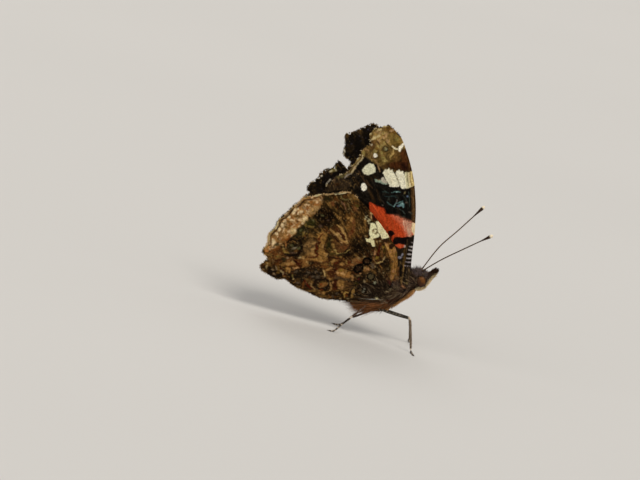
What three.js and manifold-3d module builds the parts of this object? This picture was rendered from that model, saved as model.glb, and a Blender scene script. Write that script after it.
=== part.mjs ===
// Red admiral butterfly at rest with its wings closed over its back, at life size in millimetres.
// +X points the way the head faces, +Y to the butterfly's left, and +Z up from the floor it stands on.
import * as THREE from "three";
import { mergeVertices } from "three/addons/utils/BufferGeometryUtils.js";
import Module from "manifold-3d";

const wasm = await Module();
wasm.setup();

// Driving sizes
const FOREWING_LENGTH = 32.3;
const HINDWING_LENGTH = 28.2;
const ABDOMEN_LENGTH = 11.2;
const ANTENNA_LENGTH = 19.2;
const BODY_PITCH = 15;
const BODY_HEIGHT = 10.9;
const JOINT_GAP = 0.3;

// Wing build
const MEMBRANE = 0.5;
const VEIN_HEIGHT = 0.17;
const VEIN_HALF_WIDTH = 0.36;
const WING_OPENING = 4;
const FAR_SWEEP = 8;
const FAR_HINDWING_REACH = 0.97;
const BOW = 0.55;
const HINDWING_CURL = 0.7;
const OUTLINE_STEP = 1.25;
const VEIN_STEP = 1.6;
const FILL_STEP = 3.4;

// Places in the body's own frame, whose origin is the middle of the thorax
const THORAX = { at: [0.2, 0, 0.2], radii: [4.2, 2.45, 3.0], pitch: 20 };
const COXAE = { at: [-1.3, 0, -2.3], radii: [3.0, 1.9, 2.1], pitch: 26 };
const COLLAR = { at: [3.2, 0, 2.0], radii: [1.5, 1.6, 2.1], pitch: 20 };
const THROAT = { at: [4.5, 0, 0.2], radii: [1.3, 0.45, 0.75], pitch: 25 };
const TUFT = { at: [-5.1, 0, -3.1], radii: [3.3, 1.2, 1.15], pitch: -8 };
const HEAD = { at: [5.45, 0, 2.15], radii: [1.85, 1.75, 1.82], pitch: 10 };
const EYE = { at: [6.15, 1.35, 1.75], radii: [0.95, 0.62, 1.2], pitch: -12 };
const FOREWING_HINGE = [2.87, 1.5, 2.28];
const HINDWING_HINGE = [0.61, 2.6, 0.98];
const ABDOMEN_FRONT = [-3.0, 0, -0.85];
const ABDOMEN_PITCH = -7.5;
const ANTENNA_BASE = [6.1, 0.55, 3.6];
const PALP_BASE = [5.25, 0.85, 0];
const PROBOSCIS = [7.62, 0, 1.75];
const FORELEG_BASE = [4.75, 0.85, -0.1];

// A point of a wing outline is an angle in degrees from the head's direction and a length from the hinge.
const FOREWING_COSTA = [
  [57, 2.1], [71, 3.9], [76, 6.0], [78.2, 8.8], [80.7, 13.1], [82.4, 16.0],
  [84.7, 20.0], [87.3, 23.7], [90.2, 27.6], [91.8, 29.6],
];
const FOREWING_INNER_MARGIN = [[134.6, 23.6], [135.6, 18.5], [137, 12.6], [142, 7.5], [160, 2.6]];
const WORN_MARGIN = [
  [94.7, 31.5], [96.2, FOREWING_LENGTH], [98.8, 32.0], [101.5, 31.9], [104, 31.1], [103.9, 29.0],
  [106.3, 28.9], [108.5, 28.4], [109.6, 27.4], [111.3, 27.1], [112.9, 26.4], [114.5, 26.2], [116, 25.5],
  [117.6, 25.5], [120.5, 25.4], [123.9, 25.9], [126.5, 25.4], [128.9, 25.6], [130.6, 24.9], [132.4, 25.1],
];
const FRESH_MARGIN = [
  [91.6, 31.2], [93.4, FOREWING_LENGTH], [97.3, 31.9], [100.5, 31.6], [104.7, 31.8], [105.6, 30.6],
  [106.5, 29.6], [108.9, 28.3], [108.3, 27.2], [106.8, 26.1], [108.4, 25.5], [110, 25.1], [111, 26.4],
  [111.2, 27.6], [113.6, 27.1], [115.4, 26.7], [117.4, 27.3], [120.6, 27.6], [123.8, 26.9], [127.2, 27.4],
  [130.1, 27.2], [130.4, 26.1], [133, 25.4],
];
const HINDWING_OUTLINE = [
  [76, 3.9], [86.7, 7.8], [95.6, 10.5], [102.1, 13.4], [106.4, 15.8], [109.5, 18.2], [113.8, 21.3],
  [116.9, 22.2], [121.3, 22.8], [125, 23.4], [128.8, 24.9], [131.7, 25.1], [134.8, 26.4], [138.5, 26.1],
  [142.1, 26.8], [145.8, 26.7], [149.3, 27.6], [153.1, 27.2], [156.9, 28.0], [161, 27.3],
  [164.7, HINDWING_LENGTH], [167.4, 26.0], [170.6, 27.9], [173.2, 27.2], [174.5, 25.7], [176.6, 24],
  [175.7, 22.3], [180.4, 20.3], [185.2, 17.1], [190.3, 15.2], [197.2, 10.6], [208, 7.4], [232, 3.2],
];

// A vein runs through its points, each an angle and a length from the hinge, and branches at shared points.
const FOREWING_VEINS = {
  upper_stem: [[78, 2.5], [86.2, 10.8], [89.6, 14.9]],
  lower_stem: [[100, 2.5], [106.4, 7.3], [106.4, 10.4], [101.3, 12.5]],
  cell_end: [[89.6, 14.9], [91.9, 13.9], [96, 13.4], [101.3, 12.5]],
  radius_1: [[86.2, 10.8], [85.2, 16], [84.6, 20.2]],
  radius_3: [[89.6, 14.9], [90.4, 21], [90.1, 27.9]],
  radius_4: [[94, 23], [94.7, 31.9]],
  radius_5: [[89.6, 14.9], [94, 23], [99, 32.4]],
  media_1: [[91.9, 13.9], [98.5, 22], [104.2, 32.2]],
  media_2: [[96, 13.4], [108.5, 28.8]],
  media_3: [[101.3, 12.5], [111.3, 28]],
  cubitus_1: [[106.4, 10.4], [117.5, 27.6]],
  cubitus_2: [[106.4, 7.3], [124, 27.6]],
  anal_2: [[118, 2.8], [132.6, 26.5]],
};
const HINDWING_VEINS = {
  radius_1: [[104, 3.2], [116.9, 22.4]],
  upper_stem: [[122, 3], [127, 6.4], [133.6, 10.6]],
  lower_stem: [[150, 3], [153.6, 8.4], [150.8, 10.2], [147, 12.2]],
  sector: [[127, 6.4], [128.8, 25]],
  media_1: [[133.6, 10.6], [134.8, 26.5]],
  media_2: [[133.6, 10.6], [138.4, 12.2], [142.1, 27]],
  media_3: [[147, 12.2], [149.3, 27.8]],
  cubitus_1: [[150.8, 10.2], [156.9, 28.1]],
  cubitus_2: [[153.6, 8.4], [164.7, 28.4]],
  anal_2: [[172, 3], [170.7, 28]],
  anal_3: [[190, 3.4], [178, 22.4]],
};

// Each feeler's reach along X, Y and Z, and how far it arches above a straight line at 0.28 and 0.6 of it.
const feeler = (x, y, z, arch) => ({
  lean: new THREE.Vector3(x, y, z).setLength(ANTENNA_LENGTH).toArray(),
  arch,
});
const ANTENNA_RIGHT = feeler(0.75, -0.475, 0.46, [0.38, 0.25]);
const ANTENNA_LEFT = feeler(0.69, 0.3, 0.66, [1.1, 0.55]);

// Leg joints from the floor point below the thorax, with y as the distance out to the leg's own side:
// hip, knee and ankle, then the points of the tarsus, whose last stretch lies on the floor.
const LEGS = {
  midleg_right: {
    joints: [[-1.2, 1.05, 6.4], [5.2, 4.4, 6.55], [6.9, 5.2, 0.5]],
    tarsus: [[6.93, 5.3, 0.36], [7.1, 6.3, 0.17], [7.5, 9.0, 0.14]],
  },
  midleg_left: {
    joints: [[-1.2, 1.05, 6.4], [5.45, 3.8, 5.6], [6.9, 7.0, 0.5]],
    tarsus: [[6.9, 7.15, 0.36], [6.9, 8.1, 0.17], [6.9, 10.4, 0.14]],
  },
  hindleg_right: {
    joints: [[-1.9, 1.0, 7.0], [-4.15, 1.7, 6.5], [-6.6, 4.9, 3.9]],
    tarsus: [[-6.7, 4.93, 3.8], [-8.2, 5.2, 1.8], [-9.3, 5.4, 0.36], [-10.4, 5.6, 0.13]],
  },
  hindleg_left: {
    joints: [[-1.6, 1.0, 7.0], [-1.9, 2.6, 5.7], [-6.05, 3.6, 2.6]],
    tarsus: [[-6.2, 3.65, 2.5], [-7.2, 4.1, 1.2], [-8.2, 4.6, 0.32], [-9.4, 5.1, 0.13]],
  },
};
const FEMUR_RADII = [0.42, 0.36, 0.28];
const TIBIA_RADII = [0.25, 0.24, 0.27];
const TARSUS_RADII = [0.25, 0.24, 0.2];

const SIDES = { right: -1, left: 1 };
const COLOURS = {
  forewing: 0x2e221a,
  hindwing: 0x6b4a2c,
  fur: 0x4a3a30,
  head_fur: 0x3c3430,
  eye: 0x6a3414,
  leg: 0x3a2a20,
  pale: 0xb59a74,
};

// Solids

function solidOf(geometry) {
  const bare = geometry.index ? geometry.toNonIndexed() : geometry.clone();
  bare.deleteAttribute("normal");
  bare.deleteAttribute("uv");
  const merged = mergeVertices(bare, 1e-4);
  const mesh = new wasm.Mesh({
    numProp: 3,
    vertProperties: merged.attributes.position.array,
    triVerts: new Uint32Array(merged.index.array),
  });
  return new wasm.Manifold(mesh);
}

function geometryOf(solid) {
  const mesh = solid.getMesh();
  const geometry = new THREE.BufferGeometry();
  geometry.setAttribute("position", new THREE.BufferAttribute(mesh.vertProperties, 3));
  geometry.setIndex(new THREE.BufferAttribute(mesh.triVerts, 1));
  geometry.computeVertexNormals();
  return geometry;
}

function largestBody(solid) {
  const bodies = solid.decompose();
  return bodies.reduce((best, body) => (body.volume() > best.volume() ? body : best));
}

function joined(geometries) {
  const solids = geometries.map(solidOf);
  return geometryOf(largestBody(solids.reduce((all, next) => all.add(next))));
}

// Cuts a piece back from its neighbours. Each neighbour is given as a mesh and its shape grown by the gap.
function clearOf(mesh, ...neighbours) {
  mesh.updateWorldMatrix(true, false);
  const toLocal = mesh.matrixWorld.clone().invert();
  let solid = solidOf(mesh.geometry);
  for (const [neighbour, grown] of neighbours) {
    neighbour.updateWorldMatrix(true, false);
    const cutter = grown.clone().applyMatrix4(toLocal.clone().multiply(neighbour.matrixWorld));
    solid = solid.subtract(solidOf(cutter));
  }
  mesh.geometry = geometryOf(largestBody(solid));
}

function named(name, geometry, colour, roughness = 0.8) {
  const material = new THREE.MeshStandardMaterial({ color: colour, roughness, metalness: 0 });
  const mesh = new THREE.Mesh(geometry, material);
  mesh.name = name;
  return mesh;
}

function ellipsoid(radii, grow = 0, around = 22, along = 14) {
  const geometry = new THREE.SphereGeometry(1, around, along);
  geometry.rotateX(Math.PI / 2);
  return geometry.scale(radii[0] + grow, radii[1] + grow, radii[2] + grow);
}

function pitched(geometry, degrees) {
  return geometry.rotateY(-THREE.MathUtils.degToRad(degrees));
}

// A closed round limb along a smooth path, its radii spread evenly from start to end.
function limb(points, radii, rings, sides = 10, grow = 0) {
  const curve = new THREE.CatmullRomCurve3(points.map((p) => new THREE.Vector3(...p)), false, "centripetal");
  const frames = curve.computeFrenetFrames(rings, false);
  const vertices = [];
  const indices = [];
  for (let i = 0; i <= rings; i++) {
    const t = i / rings;
    const centre = curve.getPointAt(t);
    if (i === 0) centre.addScaledVector(frames.tangents[0], -grow);
    if (i === rings) centre.addScaledVector(frames.tangents[rings], grow);
    const span = t * (radii.length - 1);
    const k = Math.min(Math.floor(span), radii.length - 2);
    const radius = THREE.MathUtils.lerp(radii[k], radii[k + 1], span - k) + grow;
    for (let j = 0; j < sides; j++) {
      const turn = (j / sides) * 2 * Math.PI;
      const point = centre.clone();
      point.addScaledVector(frames.normals[i], radius * Math.cos(turn));
      point.addScaledVector(frames.binormals[i], radius * Math.sin(turn));
      vertices.push(...point.toArray());
    }
  }
  for (let i = 0; i < rings; i++) {
    for (let j = 0; j < sides; j++) {
      const a = i * sides + j;
      const b = i * sides + ((j + 1) % sides);
      indices.push(a, b, a + sides, b, b + sides, a + sides);
    }
  }
  for (let j = 1; j < sides - 1; j++) {
    indices.push(0, j + 1, j);
    const end = rings * sides;
    indices.push(end, end + j, end + j + 1);
  }
  const geometry = new THREE.BufferGeometry();
  geometry.setAttribute("position", new THREE.Float32BufferAttribute(vertices, 3));
  geometry.setIndex(indices);
  return geometry;
}

// Wing plates

function fromHinge([degrees, length], sweep, reach) {
  const angle = THREE.MathUtils.degToRad(degrees + sweep);
  return new THREE.Vector2(Math.cos(angle), Math.sin(angle)).multiplyScalar(length * reach);
}

function resampled(corners, step) {
  const points = [];
  corners.forEach((corner, i) => {
    const next = corners[(i + 1) % corners.length];
    const pieces = Math.max(1, Math.round(corner.distanceTo(next) / step));
    for (let k = 0; k < pieces; k++) {
      points.push(corner.clone().lerp(next, k / pieces));
    }
  });
  return points;
}

function isInside(point, outline) {
  let inside = false;
  outline.forEach((a, i) => {
    const b = outline[(i + 1) % outline.length];
    const crosses = a.y > point.y !== b.y > point.y;
    if (crosses && point.x < ((b.x - a.x) * (point.y - a.y)) / (b.y - a.y) + a.x) inside = !inside;
  });
  return inside;
}

function distanceToSegment(point, a, b) {
  const along = b.clone().sub(a);
  const t = THREE.MathUtils.clamp(point.clone().sub(a).dot(along) / along.lengthSq(), 0, 1);
  return point.distanceTo(a.clone().addScaledVector(along, t));
}

function distanceToPath(point, path) {
  let best = Infinity;
  for (let i = 0; i + 1 < path.length; i++) {
    best = Math.min(best, distanceToSegment(point, path[i], path[i + 1]));
  }
  return best;
}

// Delaunay triangles of a set of points, found by adding the points one at a time.
function triangulated(points) {
  const far = 1e4;
  const all = [...points, new THREE.Vector2(-far, -far), new THREE.Vector2(far, -far), new THREE.Vector2(0, far)];
  const n = points.length;
  const circled = (a, b, c) => {
    const [p, q, r] = [all[a], all[b], all[c]];
    const d = 2 * (p.x * (q.y - r.y) + q.x * (r.y - p.y) + r.x * (p.y - q.y));
    const x = (p.lengthSq() * (q.y - r.y) + q.lengthSq() * (r.y - p.y) + r.lengthSq() * (p.y - q.y)) / d;
    const y = (p.lengthSq() * (r.x - q.x) + q.lengthSq() * (p.x - r.x) + r.lengthSq() * (q.x - p.x)) / d;
    const centre = new THREE.Vector2(x, y);
    return { corners: [a, b, c], centre, reach: centre.distanceTo(p) };
  };
  let triangles = [circled(n, n + 1, n + 2)];
  points.forEach((point, index) => {
    const edges = new Map();
    const kept = [];
    for (const triangle of triangles) {
      if (point.distanceTo(triangle.centre) >= triangle.reach) {
        kept.push(triangle);
        continue;
      }
      const [a, b, c] = triangle.corners;
      for (const [from, to] of [[a, b], [b, c], [c, a]]) {
        const opposite = to + "," + from;
        if (edges.has(opposite)) edges.delete(opposite);
        else edges.set(from + "," + to, [from, to]);
      }
    }
    triangles = kept;
    for (const [from, to] of edges.values()) triangles.push(circled(from, to, index));
  });
  return triangles.map((triangle) => triangle.corners).filter((corners) => corners.every((c) => c < n));
}

function edgeName([a, b]) {
  return Math.min(a, b) + "," + Math.max(a, b);
}

// A hair's breadth of shift that keeps four points off one circle.
function shifted(point) {
  const wave = Math.sin(point.x * 127.1 + point.y * 311.7) * 43758.5;
  const amount = (wave - Math.floor(wave) - 0.5) * 4e-3;
  return new THREE.Vector2(point.x + amount, point.y - amount * 0.7);
}

// The points of a wing's triangles, and the edges along its outline and veins that they must keep.
function wingPoints(outline, veins) {
  const edge = [...outline, outline[0]];
  const points = [...outline];
  const edges = outline.map((unused, i) => [i, (i + 1) % outline.length]);
  const isClear = (point, margin) => isInside(point, outline) && distanceToPath(point, edge) > margin;
  const add = (point, spacing) => {
    const near = points.findIndex((other) => other.distanceTo(point) < spacing);
    return near < 0 ? points.push(shifted(point)) - 1 : near;
  };
  for (const path of veins) {
    const crest = path.filter((point) => isClear(point, 0.35)).map((point) => add(point, 0.3));
    crest.slice(1).forEach((to, i) => {
      const isKnown = edges.some((other) => edgeName(other) === edgeName([crest[i], to]));
      if (to !== crest[i] && !isKnown) edges.push([crest[i], to]);
    });
  }
  for (const path of veins) {
    path.slice(1).forEach((point, i) => {
      const along = point.clone().sub(path[i]).normalize();
      for (const side of [-1, 1]) {
        const foot = new THREE.Vector2(-along.y, along.x).multiplyScalar(side * VEIN_HALF_WIDTH).add(point);
        if (isClear(foot, 0.3)) add(foot, VEIN_HALF_WIDTH * 0.8);
      }
    });
  }
  const box = new THREE.Box2().setFromPoints(outline);
  for (let y = box.min.y, row = 0; y < box.max.y; y += FILL_STEP * 0.87, row++) {
    for (let x = box.min.x + (row % 2) * FILL_STEP * 0.5; x < box.max.x; x += FILL_STEP) {
      const point = new THREE.Vector2(x, y);
      if (isClear(point, 0.8)) add(point, FILL_STEP * 0.45);
    }
  }
  return { points, edges };
}

// Triangles that keep the given edges: an edge that is missed gets a point at its middle, a few times over.
function wingTriangles(outline, veins) {
  const { points, edges } = wingPoints(outline, veins);
  let triangles = triangulated(points);
  for (let round = 0; round < 4; round++) {
    const found = new Set(triangles.flatMap(([a, b, c]) => [[a, b], [b, c], [c, a]]).map(edgeName));
    const missed = edges.filter((edge) => !found.has(edgeName(edge)));
    if (!missed.length) break;
    for (const edge of missed) {
      const [from, to] = edge;
      const middle = points.push(points[from].clone().lerp(points[to], 0.5)) - 1;
      edge[1] = middle;
      edges.push([middle, to]);
    }
    triangles = triangulated(points);
  }
  const faces = triangles.filter((corners) => {
    const centre = new THREE.Vector2();
    corners.forEach((c) => centre.addScaledVector(points[c], 1 / 3));
    return isInside(centre, outline);
  });
  return { points, faces };
}

// A wing's plate: the same triangles on both faces, raised along the veins, with a wall round the edge.
// offset(x, z) is how far the plate's middle leans out from its own plane.
function wingPlate(corners, veinPaths, offset) {
  const outline = resampled(corners, OUTLINE_STEP);
  const { points, faces } = wingTriangles(outline, veinPaths);
  const rise = points.map((point) => {
    const near = Math.min(...veinPaths.map((path) => distanceToPath(point, path)));
    return VEIN_HEIGHT * Math.max(0, 1 - near / VEIN_HALF_WIDTH);
  });
  const n = points.length;
  const vertices = [];
  for (const face of [-1, 1]) {
    points.forEach((point, i) => {
      vertices.push(point.x, offset(point.x, point.y) + face * (MEMBRANE / 2 + rise[i]), point.y);
    });
  }
  const indices = [];
  const open = new Map();
  for (const [a, b, c] of faces) {
    const area = (points[b].x - points[a].x) * (points[c].y - points[a].y)
      - (points[c].x - points[a].x) * (points[b].y - points[a].y);
    const [p, q, r] = area > 0 ? [a, b, c] : [a, c, b];
    indices.push(p, q, r, p + n, r + n, q + n);
    for (const [from, to] of [[p, q], [q, r], [r, p]]) {
      const opposite = to + "," + from;
      if (open.has(opposite)) open.delete(opposite);
      else open.set(from + "," + to, [from, to]);
    }
  }
  for (const [from, to] of open.values()) indices.push(from, from + n, to, to, from + n, to + n);
  const geometry = new THREE.BufferGeometry();
  geometry.setAttribute("position", new THREE.Float32BufferAttribute(vertices, 3));
  geometry.setIndex(indices);
  return geometry;
}

function veinPath(bends, sweep, reach) {
  const corners = bends.map((bend) => fromHinge(bend, sweep, reach));
  const path = [corners[0]];
  corners.slice(1).forEach((to, i) => {
    const from = corners[i];
    const pieces = Math.max(1, Math.round(from.distanceTo(to) / VEIN_STEP));
    for (let k = 1; k <= pieces; k++) path.push(from.clone().lerp(to, k / pieces));
  });
  return path;
}

// The wings bow outwards a little over the abdomen, and the hindwing's lower edge curls in below it.
function wingOffset(side, hingeHeight, curl) {
  return (x, z) => {
    const height = z + hingeHeight;
    const bow = BOW * Math.sin(Math.PI * THREE.MathUtils.clamp(height / FOREWING_LENGTH, 0, 1));
    return side * (bow - curl * THREE.MathUtils.smoothstep(-z, 0.6, 4.2));
  };
}

function wing(name, side, hinge, corners, veins, { colour, sweep = 0, reach = 1, curl = 0 }) {
  const outline = corners.map((corner) => fromHinge(corner, sweep, reach));
  const paths = Object.values(veins).map((vein) => veinPath(vein, sweep, reach));
  const mesh = named(name, wingPlate(outline, paths, wingOffset(side, hinge[2], curl)), colour);
  mesh.position.set(hinge[0], side * hinge[1], hinge[2]);
  mesh.rotation.x = -side * THREE.MathUtils.degToRad(WING_OPENING);
  return mesh;
}

// Body pieces

function lump(part, grow = 0) {
  const geometry = pitched(ellipsoid(part.radii, grow), part.pitch);
  return geometry.translate(...part.at);
}

function thoraxShape(grow = 0) {
  return joined([THORAX, COXAE, COLLAR, THROAT, TUFT].map((part) => lump(part, grow)));
}

function abdomenShape(grow = 0) {
  const rings = 7;
  const steps = 28;
  const profile = [new THREE.Vector2(0, -grow)];
  for (let i = 0; i <= steps; i++) {
    const t = i / steps;
    const girth = 1.2 + 0.5 * Math.sin(Math.PI * Math.min(1, t * 1.35 + 0.08)) - 1.15 * t ** 3.2;
    const ring = 0.07 * Math.abs(Math.sin(Math.PI * rings * t));
    profile.push(new THREE.Vector2(girth + ring + grow, t * ABDOMEN_LENGTH));
  }
  profile.push(new THREE.Vector2(0, ABDOMEN_LENGTH + 0.25 + grow));
  return new THREE.LatheGeometry(profile, 20).rotateZ(Math.PI / 2);
}

function coilShape() {
  const [inner, outer, web, rim] = [0.14, 0.36, 0.08, 0.15];
  const half = [[outer + 0.04, 0], [outer, rim], [inner + 0.08, rim], [inner, web], [0, web]];
  const profile = [...half.map(([x, y]) => [x, -y]).reverse().slice(0, -1), ...half];
  return new THREE.LatheGeometry(profile.map((p) => new THREE.Vector2(...p)), 16);
}

// A feeler leans along its own direction and arches a little before its club.
function antennaShape(side) {
  const { lean, arch } = side < 0 ? ANTENNA_RIGHT : ANTENNA_LEFT;
  const at = (t, lift) => [lean[0] * t, lean[1] * t, lean[2] * t + lift];
  const path = [at(0, 0), at(0.28, arch[0]), at(0.6, arch[1]), at(1, 0)];
  const shaft = Array(18).fill(0.25);
  return limb(path, [...shaft, 0.37, 0.43, 0.2], 30, 8);
}

function palpShape(side) {
  const path = [[0, 0, 0], [1.0, 0, 0.2], [1.85, side * 0.03, 1.2], [2.7, side * 0.07, 2.55],
    [3.97, side * 0.12, 3.75]];
  return limb(path, [0.28, 0.44, 0.62, 0.72, 0.3], 12, 10).scale(1, 0.7, 1);
}

function forelegShape(side) {
  const path = [[0, 0, 0], [-1.2, side * 0.2, -1.15], [-2.6, side * 0.1, -2.0], [-4.0, 0, -3.1]];
  return limb(path, [0.32, 0.38, 0.32, 0.2], 12, 8);
}

// Assembly

const admiral = new THREE.Group();
const stance = new THREE.Group();
const body = new THREE.Group();
admiral.add(stance);
stance.add(body);
body.position.z = BODY_HEIGHT;
body.rotation.y = -THREE.MathUtils.degToRad(BODY_PITCH);

const thorax = named("thorax", thoraxShape(), COLOURS.fur);
const head = named("head", pitched(ellipsoid(HEAD.radii), HEAD.pitch), COLOURS.head_fur);
head.position.set(...HEAD.at);
const abdomen = named("abdomen", abdomenShape(), COLOURS.fur);
abdomen.position.set(...ABDOMEN_FRONT);
abdomen.rotation.y = -THREE.MathUtils.degToRad(ABDOMEN_PITCH);
body.add(thorax, head, abdomen);
const grownThorax = thoraxShape(JOINT_GAP);
const grownHead = pitched(ellipsoid(HEAD.radii, JOINT_GAP), HEAD.pitch);
clearOf(abdomen, [thorax, grownThorax]);

const proboscis = named("proboscis", coilShape(), COLOURS.leg);
proboscis.position.set(...PROBOSCIS);
body.add(proboscis);

for (const [word, side] of Object.entries(SIDES)) {
  const eye = named("eye_" + word, pitched(ellipsoid(EYE.radii, 0, 18, 12), EYE.pitch), COLOURS.eye, 0.3);
  eye.position.set(EYE.at[0], side * EYE.at[1], EYE.at[2]);
  const antenna = named("antenna_" + word, antennaShape(side), COLOURS.leg);
  antenna.position.set(ANTENNA_BASE[0], side * ANTENNA_BASE[1], ANTENNA_BASE[2]);
  const palp = named("palp_" + word, palpShape(side), COLOURS.pale);
  palp.position.set(PALP_BASE[0], side * PALP_BASE[1], PALP_BASE[2]);
  const foreleg = named("foreleg_" + word, forelegShape(side), COLOURS.fur);
  foreleg.position.set(FORELEG_BASE[0], side * FORELEG_BASE[1], FORELEG_BASE[2]);
  body.add(eye, antenna, palp, foreleg);
  clearOf(antenna, [head, grownHead]);
  clearOf(head, [eye, pitched(ellipsoid(EYE.radii, JOINT_GAP, 18, 12), EYE.pitch)]);
  clearOf(palp, [head, grownHead], [eye, pitched(ellipsoid(EYE.radii, JOINT_GAP, 18, 12), EYE.pitch)]);
  clearOf(foreleg, [thorax, grownThorax], [head, grownHead]);

  const margin = side < 0 ? WORN_MARGIN : FRESH_MARGIN;
  const forewingCorners = [...FOREWING_COSTA, ...margin, ...FOREWING_INNER_MARGIN];
  const foreShape = { sweep: side < 0 ? 0 : FAR_SWEEP, colour: COLOURS.forewing };
  const hindShape = {
    reach: side < 0 ? 1 : FAR_HINDWING_REACH,
    curl: HINDWING_CURL,
    colour: COLOURS.hindwing,
  };
  const forewing = wing("forewing_" + word, side, FOREWING_HINGE, forewingCorners, FOREWING_VEINS, foreShape);
  const hindwing = wing("hindwing_" + word, side, HINDWING_HINGE, HINDWING_OUTLINE, HINDWING_VEINS, hindShape);
  body.add(forewing, hindwing);
  clearOf(forewing, [thorax, grownThorax], [head, grownHead]);
  clearOf(hindwing, [thorax, grownThorax]);
}
clearOf(proboscis, [head, grownHead]);
clearOf(thorax, [head, grownHead]);

// Walking legs, each a femur, a tibia and a tarsus whose sole is cut flat at the floor
const FLOOR_DEPTH = 5;
const floor = new THREE.Mesh(new THREE.BoxGeometry(80, 60, FLOOR_DEPTH));
floor.position.z = -FLOOR_DEPTH / 2;

for (const [name, plan] of Object.entries(LEGS)) {
  const [kind, word] = name.split("_");
  const onSide = (points) => points.map(([x, y, z]) => [x, SIDES[word] * y, z]);
  const [hip, knee, ankle] = onSide(plan.joints);
  const tarsusPath = onSide(plan.tarsus);
  const femur = named(kind + "_femur_" + word, limb([hip, knee], FEMUR_RADII, 4), COLOURS.leg);
  const tibia = named(kind + "_tibia_" + word, limb([knee, ankle], TIBIA_RADII, 4), COLOURS.leg);
  const tarsus = named(kind + "_tarsus_" + word, limb(tarsusPath, TARSUS_RADII, 10), COLOURS.leg);
  stance.add(femur, tibia, tarsus);
  clearOf(femur, [thorax, grownThorax]);
  clearOf(tibia, [femur, limb([hip, knee], FEMUR_RADII, 4, 10, JOINT_GAP)], [thorax, grownThorax]);
  clearOf(tarsus, [tibia, limb([knee, ankle], TIBIA_RADII, 4, 10, JOINT_GAP)], [floor, floor.geometry]);
}

// The origin is the middle of the model's box, at the floor.
admiral.updateMatrixWorld(true);
const box = new THREE.Box3().setFromObject(stance, true);
const middle = box.getCenter(new THREE.Vector3());
stance.position.set(-middle.x, -middle.y, -box.min.z);
admiral.updateMatrixWorld(true);

export default admiral;
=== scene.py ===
"""A red admiral butterfly with closed, worn wings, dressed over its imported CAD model.

Shapes are worked out in millimetres in the body's frame: +X the way the head faces, +Y to the butterfly's
left, +Z up from its back, with the middle of the thorax at zero. The body is pitched above the floor.
Marks are placed on a chart, which is the right wing's side view with one unit to 0.205 mm.
"""

import bpy
import numpy as np
from mathutils import Matrix, Vector


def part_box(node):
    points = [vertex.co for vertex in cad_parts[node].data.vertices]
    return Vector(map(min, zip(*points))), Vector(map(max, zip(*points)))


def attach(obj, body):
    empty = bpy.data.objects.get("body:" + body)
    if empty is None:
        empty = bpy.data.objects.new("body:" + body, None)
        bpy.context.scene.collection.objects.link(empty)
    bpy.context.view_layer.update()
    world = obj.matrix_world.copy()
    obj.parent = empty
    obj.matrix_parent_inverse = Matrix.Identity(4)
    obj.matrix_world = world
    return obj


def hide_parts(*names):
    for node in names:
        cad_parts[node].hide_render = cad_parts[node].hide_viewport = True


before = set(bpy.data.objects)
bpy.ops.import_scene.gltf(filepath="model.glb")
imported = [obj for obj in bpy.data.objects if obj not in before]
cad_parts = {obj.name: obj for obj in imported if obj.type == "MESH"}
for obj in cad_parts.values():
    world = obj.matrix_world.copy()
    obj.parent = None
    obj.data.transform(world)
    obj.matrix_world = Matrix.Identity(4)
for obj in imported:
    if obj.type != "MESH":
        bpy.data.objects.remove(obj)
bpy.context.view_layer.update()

MM = 0.001
RIGHT, LEFT = -1, 1
SIDES = {"right": RIGHT, "left": LEFT}
BODY_PITCH = np.radians(15)
BODY_HEIGHT = 10.9
CHART_UNIT = 0.205
CHART_MIDDLE = (391, 289)
PICTURE_SIZE = (640, 480)
VIEW_DOWN = np.radians(8)
CAMERA_DISTANCE = 1000.0
SENSOR_WIDTH = 36

EYE_AT, EYE_RADII, EYE_PITCH = (6.15, 1.35, 1.75), (0.95, 0.62, 1.2), -12


# Frames

def rotated(x, y, angle):
    """A pair of coordinates turned by the angle, from the first axis towards the second."""
    c, s = np.cos(angle), np.sin(angle)
    return x * c - y * s, x * s + y * c


def to_floor(points):
    """From the body's frame to the frame of the floor below it, both in millimetres."""
    x, y, z = np.asarray(points, float).reshape(-1, 3).T
    x, z = rotated(x, z, BODY_PITCH)
    return np.stack([x, y, z + BODY_HEIGHT], 1)


def from_floor(points):
    """From the floor's frame back to the body's."""
    x, y, z = np.asarray(points, float).reshape(-1, 3).T
    x, z = rotated(x, z - BODY_HEIGHT, -BODY_PITCH)
    return np.stack([x, y, z], 1)


def on_side(points, side):
    """Points given for the left side, or their mirror image on the right."""
    return np.array(points, float) * (1, side, 1)


def model_offset():
    """How far the CAD model was moved to stand in the middle of its box, found from its right eye."""
    low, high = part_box("eye_right")
    middle = (np.array(low) + np.array(high)) / 2 / MM
    return middle - to_floor(on_side(EYE_AT, RIGHT))[0]


OFFSET = model_offset()


def to_world(points):
    return (to_floor(points) + OFFSET) * MM


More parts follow.
